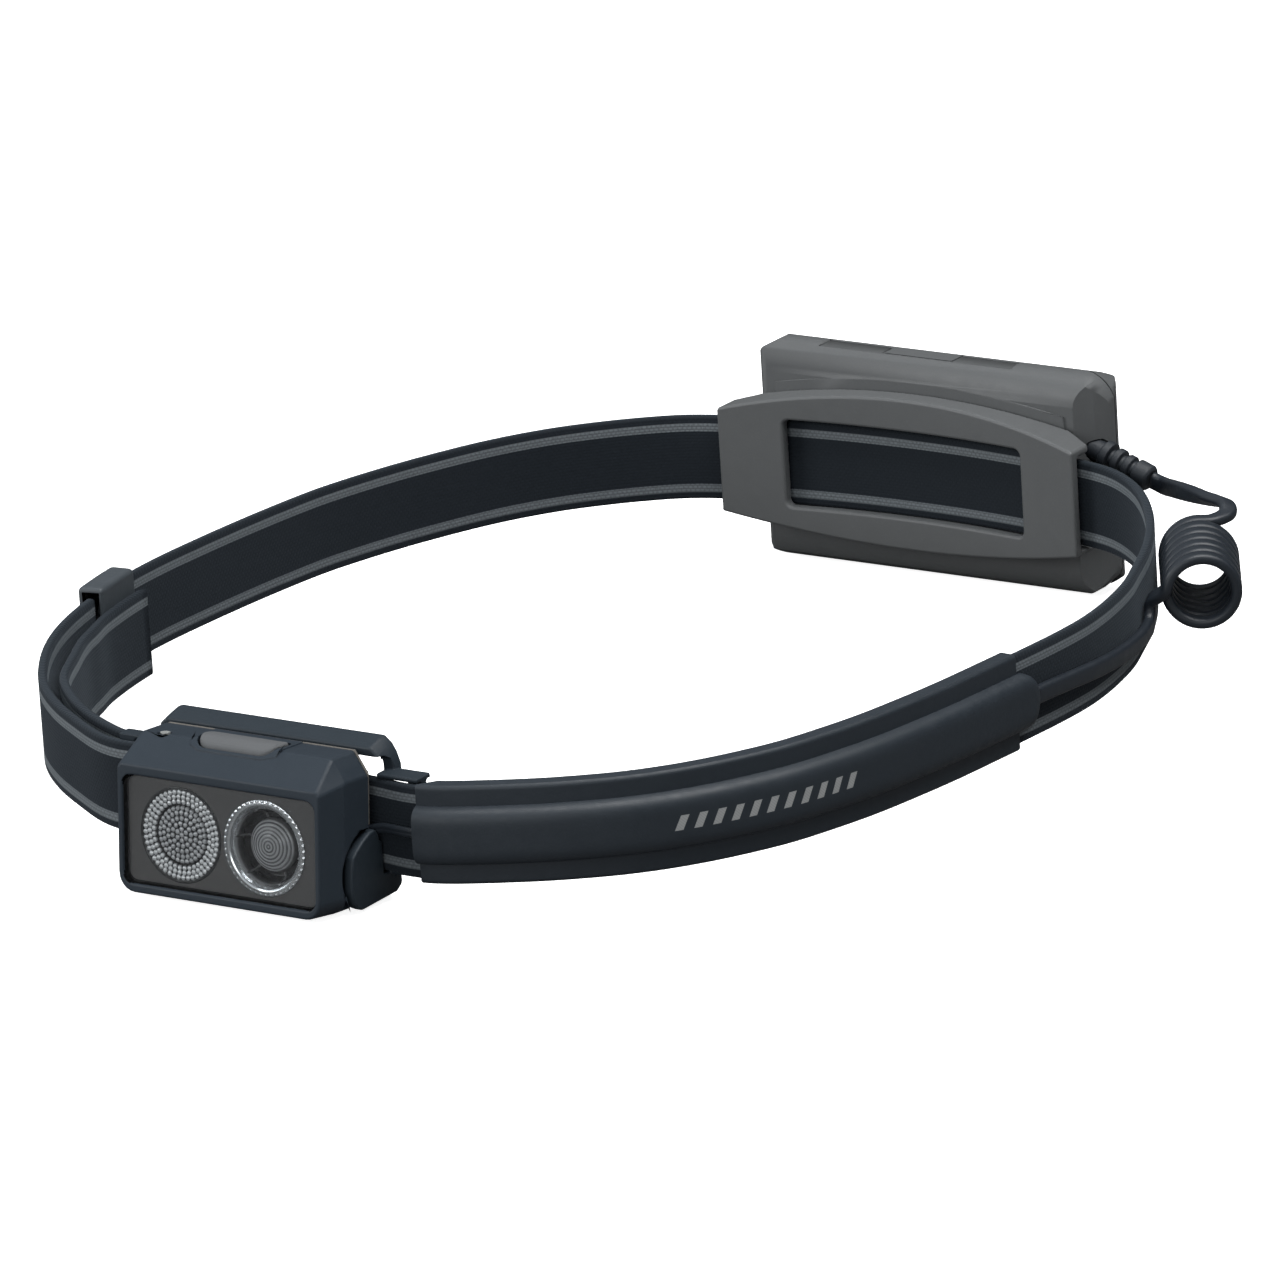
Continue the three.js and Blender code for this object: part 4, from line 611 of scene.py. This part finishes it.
# ------------------------------------------------------------------ cable sleeve
def sleeve():
    m_out, m_in = 64, 24
    ring_o, ring_i, ext, late = [], [], [], []
    for j in range(m_out + 1):                      # outer face, bottom to top
        v = 8.1 * (-1 + 2 * j / m_out)
        x = min(1, abs(v) / 4.75)
        d = 1.65 + 2.1 * (1 - x ** 5) ** 0.62
        edge = max(0, abs(v) - 7.5) / 0.6
        d -= 0.42 * edge * edge
        ring_o.append((d, v))
        vi = 7.8 * (-1 + 2 * j / m_out)
        ring_i.append((2.95 if abs(vi) < 1.9 else 1.0, vi))
        ext.append(max(0.0, 1 - (v / 4.9) ** 2) ** 0.5 if abs(v) < 4.9 else 0.0)
        late.append(0.0)
    for j in range(m_in + 1):                       # inner face, top to bottom
        v = 8.1 * (1 - 2 * j / m_in)
        edge = max(0, abs(v) - 7.5) / 0.6
        ring_o.append((-1.65 + 0.42 * edge * edge, v))
        ring_i.append((-1.0, 7.8 * (1 - 2 * j / m_in)))
        ext.append(0.0)
        late.append(1.0)
    ring_o, ring_i = np.array(ring_o), np.array(ring_i)
    ext, late = np.array(ext), np.array(late)
    m = len(ring_o)
    s_late = band_s(31.5, -93.3)
    ni = 150
    pts, wv = [], []
    for ring in (ring_o, ring_i):
        for i in range(ni + 1):
            g = i / ni
            base = S_SL0 + (S_SL1 - S_SL0) * g
            s = base + ext * (S_BULGE1 - S_SL1) * sstep((g - 0.93) / 0.07)
            s = np.maximum(s, np.where(late > 0, s_late + 0.02 * i, 0))
            p, t, n = band(s)
            d = ring[:, 0].copy()
            if ring is ring_o:                      # bulge rounds down at its far end
                dist = (S_SL1 + ext * (S_BULGE1 - S_SL1)) - s
                soft = np.where(np.abs(ring[:, 1]) < 4.9, np.clip(dist / 1.1, 0, 1), 1.0)
                d = np.where(d > 1.7, d - 0.55 * (1 - np.sqrt(1 - (1 - soft) ** 2)), d)
            q = p + n * d[:, None]
            q[:, 2] = ring[:, 1]
            pts.append(q)
            wv.append(np.stack([s, ring[:, 1], d], -1))
    pts, wv = np.vstack(pts), np.vstack(wv)
    rows = ni + 1
    faces = grid_faces(rows, m) + [tuple(reversed(f)) for f in grid_faces(rows, m, base=rows * m)]
    for j in range(m):
        k = (j + 1) % m
        faces.append((rows * m + j, rows * m + k, k, j))
        a, b = (rows - 1) * m, rows * m + (rows - 1) * m
        faces.append((a + j, a + k, b + k, b + j))
    ob = mesh_object("sleeve_shell", pts, faces, attrs={"wv": wv})
    sharpen(ob, 40)
    return ob


ob = sleeve()
paint(ob, sleeve_material())
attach(ob, "band")
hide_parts("cable_sleeve")

# ------------------------------------------------------------------ coiled lead
RIB_W, RIB_T, COIL_R, COIL_TURNS, COIL_LEN = 3.0, 1.8, 5.8, 6, 21.0
BOOT0, BOOT1 = np.array([34.8, 103.4, 6.3]), np.array([44.0, 103.1, 2.9])
BOOT_D = unit(BOOT1 - BOOT0)


def coil_stations():
    ax = unit([-0.53, 0.85, 0])
    out = unit([ax[1], -ax[0], 0])
    up = np.array([0, 0, 1.0])
    c0 = np.array([83.3, 53.2, 2.6])

    def helix(f, a):
        rad = out * math.cos(a) + up * math.sin(a)
        return c0 + ax * (COIL_LEN * f - 1) + rad * COIL_R, rad
    P, Nn = [], []
    dC = 0.75 + 0.3 + RIB_T / 2 + 0.05
    sA, sB = S_SL1 - 45, band_s(75.3, 45.4)
    for i in range(61):
        s = sA + (sB - sA) * i / 60
        p, t, n = band(s)
        f = min(1, max(0, (s - S_BULGE1) / (sB - S_BULGE1)))
        P.append(p + n * dC + up * (-2.4 * f * f * (3 - 2 * f)))
        Nn.append(n)
    p0 = P[-1]
    for i in range(1, 15):
        a = i / 14 * math.pi / 2
        p, t, n = band(sB + 3.0 * math.sin(a))
        q = p + n * dC
        q[2] = p0[2] + 3.0 * (1 - math.cos(a))
        P.append(q)
        Nn.append(n)
    last, n_last = P[-1], Nn[-1]
    a0 = math.pi * 0.93
    entry, rad = helix(0, a0)
    tan_e = out * math.sin(a0) - up * math.cos(a0)
    d1 = np.linalg.norm(entry - last)
    for i in range(1, 16):
        t = i / 16
        h = (2 * t ** 3 - 3 * t ** 2 + 1, t ** 3 - 2 * t ** 2 + t, -2 * t ** 3 + 3 * t ** 2, t ** 3 - t ** 2)
        P.append(last * h[0] + up * h[1] * d1 + entry * h[2] + tan_e * h[3] * d1)
        Nn.append(unit(n_last * (1 - t) - rad * t))
    a1 = a0 - 2 * math.pi * COIL_TURNS - math.pi * 0.43
    nC = 48 * COIL_TURNS
    for i in range(nC + 1):
        f = i / nC
        p, rad = helix(f, a0 + (a1 - a0) * f)
        P.append(p)
        Nn.append(-rad)
    far, n_far = P[-1], Nn[-1]
    tan = out * math.sin(a1) - up * math.cos(a1)
    off = lambda o, x, u: far + out * o + ax * x + up * u
    lead = Curve([far, far + tan * 2.5, off(5.0, 2.0, 0.4), off(5.0, 5.2, 1.1), [68.5, 80.4, 9.0], [60.0, 87.6, 7.0], [52.2, 96.4, 4.2],
                  BOOT1 + BOOT_D * 2.4 + np.array([0.2, -0.3, 0.2]), BOOT1 + BOOT_D * 0.35])
    nL = 70
    prev = n_far
    for i in range(1, nL + 1):
        u = i / nL
        p, t = lead.at(u * lead.length)
        want = unit(n_far * (1 - min(1, u * 1.6)) + unit([-0.62, -0.72, 0.1]) * min(1, u * 1.6))
        n = unit(want - t * np.dot(want, t))
        if np.dot(n, prev) < 0:
            n = -n
        prev = n
        P.append(p)
        Nn.append(n)
    P, Nn = np.array(P), np.array(Nn)
    t = unit(np.gradient(P, axis=0))
    B = np.zeros_like(P)
    for i in range(len(P)):
        n = unit(Nn[i] - t[i] * np.dot(Nn[i], t[i]))
        if i and np.dot(n, Nn[i - 1]) < 0:
            n = -n
        Nn[i] = n
        B[i] = np.cross(t[i], n)
    return P, Nn, B


ob = sweep("coil_lead", round_section(RIB_T / 2, RIB_W / 2, 0.72, corner=4, along=2), *coil_stations())
paint(ob, M["cable"])
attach(ob, "band")
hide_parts("coil_cable")

# thin two-core lead: leaves the sleeve and crosses to the lamp head
s0, s1 = band_s(16.5, -92.65), S_SL0 + 14
ss = np.linspace(s1, s0, 40)
p, t, n = band(ss)
f = sstep((ss - s0) / 9.0)
P = p + n * (1.32 + (1 - f) ** 2 * 1.35)[:, None]
P[:, 2] = -1.4 * (1 - f) ** 2
end = lean(np.array([[14.6, -95.9, -1.4], [14.6, -97.2, -1.4]]))
P = np.vstack([P, end])
C = Curve(P)
P, T = C.at(np.linspace(0, C.length, 90))
B = np.tile([0, 0, 1.0], (90, 1))
Nn = unit(np.cross(T, B))
two = []
for i in range(28):                                 # two round cores side by side
    a = 2 * math.pi * i / 28
    r = 0.47 + 0.40 * abs(math.sin(a)) ** 1.5
    two.append((r * math.cos(a) * 0.95, r * math.sin(a) * 0.98))
ob = sweep("lamp_lead_pair", two, P, Nn, B)
paint(ob, M["cable"])
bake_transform(ob)
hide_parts("lamp_lead")


# ------------------------------------------------------------------ optics
def lathe_field(name, prof, cx, cz, bump, n_ang=360, tail=None, wide=1.05):
    """Polar surface round the Y axis: front profile radius -> depth with a relief function, closed by a back profile."""
    rs = np.array([p[0] for p in prof])
    ys = np.array([p[1] for p in prof])
    r = np.unique(np.concatenate([np.arange(0.1, rs[-1], 0.1), rs[1:]]))
    pts, rr = [], []
    th = 2 * np.pi * np.arange(n_ang) / n_ang
    for x in r:
        y = np.interp(x, rs, ys)
        h, lift = bump(x, th)
        pts.append(np.stack([cx + x * wide * np.cos(th), y - lift, cz + x * wide * np.sin(th)], -1))
        rr.append(np.stack([np.full(n_ang, x), th, h], -1))
    for x, y in tail:
        pts.append(np.stack([cx + x * np.cos(th), np.full(n_ang, y), cz + x * np.sin(th)], -1))
        rr.append(np.stack([np.full(n_ang, 7.4), th, np.zeros(n_ang)], -1))
    rows = len(pts)
    P = np.vstack(pts)
    R = np.vstack(rr)
    h0, l0 = bump(0.0, np.zeros(1))
    front = len(P)
    P = np.vstack([P, [[cx, np.interp(0, rs, ys) - float(l0[0]), cz]], [[cx, tail[-1][1], cz]]])
    R = np.vstack([R, [[0, 0, float(h0[0])]], [[7.4, 0, 0]]])
    faces = grid_faces(rows, n_ang)
    for j in range(n_ang):
        k = (j + 1) % n_ang
        faces.append((front, k, j))
        faces.append((front + 1, (rows - 1) * n_ang + j, (rows - 1) * n_ang + k))
    return mesh_object(name, lean(P), faces, attrs={"rr": R})


yF = -108.2
OPTIC_X, OPTIC_Z = 8.03, -2.35
ROWS = [(0.0, 1, 0.0), (0.86, 6, 0.0), (1.70, 12, 0.25), (2.54, 18, 0.0), (3.38, 24, 0.4), (4.12, 30, 0.1), (5.10, 36, 0.0), (5.82, 42, 0.5), (6.54, 48, 0.2)]


def flood_bump(x, th):
    """Beads in rings; a plain groove, coloured near-black by the material as painted shade, parts the middle disc from
    the outer rows.
    """
    h = np.zeros(len(th))
    for rr_, k, ph in ROWS:
        if rr_ == 0:
            d2 = np.full(len(th), (x / 0.43) ** 2)
        else:
            a = (th / (2 * np.pi) * k + ph) % 1 - 0.5
            d2 = ((x - rr_) / 0.43) ** 2 + (a * 2 * np.pi * rr_ / k / 0.43) ** 2
        h = np.maximum(h, np.sqrt(np.clip(1 - d2, 0, 1)))
    if 4.50 < x < 4.68 or x > 6.98:
        return h * 0, 0 * h
    return h, 0.32 * h


def spot_bump(x, th):
    h = np.zeros(len(th))
    lift = np.zeros(len(th))
    if x < 4.1:                                      # lens rings
        w = 0.5 + 0.5 * math.cos(2 * math.pi * x / 0.55)
        lift = lift + 0.09 * w * (0.4 + 0.6 * x / 4.1)
        h = h + w
    elif 4.25 < x < 5.75:                            # spokes across the throat
        a = np.abs(((th - 0.35) / (2 * np.pi) * 6) % 1 - 0.5) * 2 * np.pi / 6 * x
        h = np.clip(1 - (a / 0.24) ** 2, 0, 1)
        lift = 0.7 * h
    elif x > 7.0:                                    # fine teeth round the rim
        h = 0.5 + 0.5 * np.sin(th * 48)
        lift = 0.10 * h
    return h, lift


back_f = [(7.42, yF + 0.31), (7.4, yF + 1.2), (6.7, yF + 2.6), (5.4, yF + 4.2), (3.6, yF + 5.2)]
ob = lathe_field("flood_lens", [(0, yF + 0.62), (2.0, yF + 0.64), (4.3, yF + 0.80), (4.5, yF + 1.15), (4.68, yF + 1.15), (4.8, yF + 0.62), (6.9, yF + 0.45), (7.05, yF + 0.2), (7.3, yF + 0.2), (7.4, yF + 0.29)],
                 -OPTIC_X, OPTIC_Z, flood_bump, tail=back_f)
paint(ob, optic_material("optic_flood", False))
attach(ob, "lamp_head")
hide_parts("flood_optic")
ob = lathe_field("spot_lens", [(0, yF + 1.35), (1.4, yF + 1.45), (2.6, yF + 1.75), (3.5, yF + 2.2), (4.0, yF + 2.6), (4.15, yF + 2.9), (4.25, yF + 4.0), (4.9, yF + 4.0), (5.35, yF + 3.2), (5.7, yF + 1.5),
                               (5.95, yF + 0.75), (6.3, yF + 0.25), (6.6, yF + 0.12), (6.95, yF + 0.15), (7.3, yF + 0.24), (7.4, yF + 0.29)],
                 OPTIC_X, OPTIC_Z, spot_bump, tail=[(7.42, yF + 0.31), (7.4, yF + 1.2), (6.7, yF + 2.8), (5.4, yF + 4.6), (3.6, yF + 5.2)])
paint(ob, optic_material("optic_spot", True))
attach(ob, "lamp_head")
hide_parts("spot_optic")


def opening_shade_faces(c, n):
    """Faces of the housing behind the front face's rim: the window opening's walls and the hollow inside, which the
    housing material colours near-black as painted shade.
    """
    q = unlean(c)
    return (np.abs(q[:, 0]) < 18.42) & (q[:, 2] > -11.02) & (q[:, 2] < 6.57) & (q[:, 1] > -109.17)


def pane_side(c, n):
    f = np.array([0.0, -math.cos(REST_LEAN), -math.sin(REST_LEAN)])
    return np.abs(n @ f) < 0.9


def off_button(e):
    """All edges but those round the button's opening, which stay crisp so that the gap stays narrow."""
    q = unlean([e.verts[0].co[:], e.verts[1].co[:]])
    return not bool(np.all(np.abs(q[:, 0]) < 8.3) and np.all(q[:, 1] > -105.45) and np.all(q[:, 1] < -99.2) and np.all(q[:, 2] > 8.0))


def side_fold(e):
    """The soft fold where the housing's front chamfers meet its sides."""
    q = unlean([e.verts[0].co[:], e.verts[1].co[:]])
    return bool(np.all(np.abs(q[:, 1] + 104.0) < 0.12) and np.all(np.abs(q[:, 0]) > 20.0))


# ------------------------------------------------------------------ pieces rounded from the CAD shapes
for node, name, body, mat, slot, kw in [
    ("lamp_housing", "housing_shell", "lamp_head", "navy", "housing_navy", dict(bevel=0.42, segments=3, extra=side_fold, select=off_button, mark=opening_shade_faces)),
    ("optic_trim", "trim_plate", "lamp_head", "trim", "trim_dark", dict(bevel=0.12, segments=2)),
    ("front_window", "window_pane", "lamp_head", None, "window_clear", dict(bevel=0.0, mark=pane_side)),
    ("mode_button", "button_cap", "button", "button", "button_rubber", dict(bevel=0.4, segments=4)),
    ("housing_seal", "seal_ring", "lamp_head", "seal", "seal", dict(bevel=0.1, segments=2)),
    ("lamp_rear_cover", "rear_cover", "lamp_head", "rear", "rear_plastic", dict(bevel=0.25, segments=2)),
    ("tilt_bracket", "bracket_shell", "band", "navy_bracket", "housing_navy", dict(bevel=0.40, segments=3)),
    ("forehead_pad", "forehead_foam", "band", "foam", "pad_foam", dict(bevel=0.5, segments=3)),
    ("strap_slider", "slider_loop", "slider", "slider", "housing_navy", dict(bevel=0.9, segments=4, angle=40)),
    ("box_tray", "tray_shell", "band", "grey", "grey_plastic", dict(bevel=0.0, smooth_angle=48)),
    ("box_cover", "cover_shell", "cover", "grey", "grey_plastic", dict(bevel=0.0, smooth_angle=48)),
    ("strap_frame", "frame_bridge", "band", "grey", "grey_plastic", dict(bevel=0.55, segments=3, angle=40)),
    ("box_strain_relief", "cable_boot", "band", "boot", "cable_jacket", dict(bevel=0.18, segments=2, angle=40)),
]:
    ob = clean_copy(node, name, **kw)
    paint(ob, M[mat] if mat else window_material())
    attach(ob, body)

# ------------------------------------------------------------------ CAD nodes shown as they are
KEEP = {"led_flood": "emitter", "led_spot": "emitter", "led_board": "pcb", "heat_spreader": "alu", "switch_board": "pcb", "tact_switch": "steel", "indicator_pipe": "pipe",
        "lamp_screw_l": "steel", "lamp_screw_r": "steel", "lead_grommet": "boot", "tilt_pin_l": "steel", "tilt_pin_r": "steel", "box_hinge_pin": "steel",
        "frame_screw_1": "steel", "frame_screw_2": "steel", "frame_screw_3": "steel", "frame_screw_4": "steel", "cell_1": "cell", "cell_2": "cell", "cell_3": "cell",
        "contact_spring_1": "steel", "contact_spring_2": "steel", "contact_spring_3": "steel", "contact_left_pair": "steel", "contact_left_single": "steel",
        "contact_right_single": "steel", "contact_right_pair": "steel", "battery_board": "pcb"}
for node, mat in KEEP.items():
    ob = CAD[node]
    ob.data.materials.clear()
    ob.data.materials.append(M[mat])

# ------------------------------------------------------------------ stage: floor, lights, camera
me = bpy.data.meshes.new("floor")
bm = bmesh.new()
R = 6.0
slope = -7.2 / 207.0
z_mid = (-12.35 - 0.15) / 1000 + slope * ((0 + 103) / 1000)
quad = [bm.verts.new((x, y, z_mid - 0.0003 + slope * y)) for x, y in ((-R, -R), (R, -R), (R, R), (-R, R))]
bm.faces.new(quad)
bmesh.ops.subdivide_edges(bm, edges=bm.edges, cuts=12, use_grid_fill=True)
bm.to_mesh(me)
bm.free()
floor = new_object("floor", me)
m = Mat("floor_paper")
path = m.node("ShaderNodeLightPath")
cam_d = m.node("ShaderNodeBsdfDiffuse", {"Color": (0.93, 0.93, 0.93, 1)})
dim_d = m.node("ShaderNodeBsdfDiffuse", {"Color": (0.13, 0.13, 0.13, 1)})
mx = m.node("ShaderNodeMixShader", {0: path.outputs["Is Camera Ray"], 1: dim_d.outputs[0], 2: cam_d.outputs[0]})
glow = m.node("ShaderNodeEmission", {"Color": (1, 1, 1, 1), "Strength": m.math("MULTIPLY", path.outputs["Is Camera Ray"], 0.88)})
add = m.node("ShaderNodeAddShader", {0: mx.outputs[0], 1: glow.outputs[0]})
m.nt.links.new(add.outputs[0], m.out.inputs[0])
floor.data.materials.append(m.m)

world = bpy.data.worlds.new("studio")
bpy.context.scene.world = world
world.use_nodes = True
bg = world.node_tree.nodes["Background"]
bg.inputs[0].default_value = (0.93, 0.965, 1.0, 1)
wn = world.node_tree.nodes
wl = world.node_tree.links
tc = wn.new("ShaderNodeTexCoord")                # soft dome: bright above and to the front left, dark on the cable side
dot = wn.new("ShaderNodeVectorMath")
dot.operation = "DOT_PRODUCT"
dot.inputs[1].default_value = (-0.30, -0.58, 0.76)
mr = wn.new("ShaderNodeMapRange")
mr.interpolation_type = "SMOOTHSTEP"
mr.inputs[1].default_value, mr.inputs[2].default_value = -0.25, 0.95
mr.inputs[3].default_value, mr.inputs[4].default_value = 0.05, 0.58
wl.new(tc.outputs["Generated"], dot.inputs[0])
wl.new(dot.outputs["Value"], mr.inputs[0])
wl.new(mr.outputs[0], bg.inputs[1])


def area(name, loc, target, size, power, color=(1, 1, 1)):
    d = bpy.data.lights.new(name, "AREA")
    d.shape = "RECTANGLE"
    d.size, d.size_y = size
    d.energy = power
    d.color = color
    o = bpy.data.objects.new(name, d)
    bpy.context.scene.collection.objects.link(o)
    o.location = loc
    o.rotation_mode = "QUATERNION"
    o.rotation_quaternion = (Vector(target) - Vector(loc)).to_track_quat("-Z", "Y")
    return o


area("key_top", (0.42, 0.05, 1.25), (0, 0, 0), (1.0, 1.0), 20)
area("key_left", (-1.15, -1.15, 0.55), (0, 0, 0), (0.9, 0.9), 11)
area("fill_front", (0.35, -1.6, 0.45), (0, 0, 0), (0.8, 0.6), 4)
area("fill_right", (1.5, 0.45, 0.35), (0, 0, 0), (0.9, 0.6), 0.5)

AZ, EL, ROLL = math.radians(34.217), math.radians(17.393), math.radians(-3.553)
back = np.array([math.sin(AZ) * math.cos(EL), -math.cos(AZ) * math.cos(EL), math.sin(EL)])
right = np.array([math.cos(AZ), math.sin(AZ), 0.0])
up = np.cross(back, right)
cam_data = bpy.data.cameras.new("camera")
cam_data.sensor_width = 36.0
cam_data.lens = 306.7
cam_data.clip_start, cam_data.clip_end = 0.1, 30
cam = bpy.data.objects.new("camera", cam_data)
bpy.context.scene.collection.objects.link(cam)
cr, sr = math.cos(ROLL), math.sin(ROLL)
xc = right * cr + up * sr
yc = -right * sr + up * cr
fpx = 10904.6
fwd = unit(-back - xc * (36.79 / fpx) - yc * (41.11 / fpx))
xc = unit(xc - fwd * np.dot(xc, fwd))
yc = np.cross(xc, fwd)
loc = fr([0, 22.9, 0]) + back * 1.8089
mtx = Matrix(((xc[0], yc[0], -fwd[0], loc[0]), (xc[1], yc[1], -fwd[1], loc[1]), (xc[2], yc[2], -fwd[2], loc[2]), (0, 0, 0, 1)))
cam.matrix_world = mtx
bpy.context.scene.camera = cam
bpy.context.scene.view_settings.view_transform = "Standard"
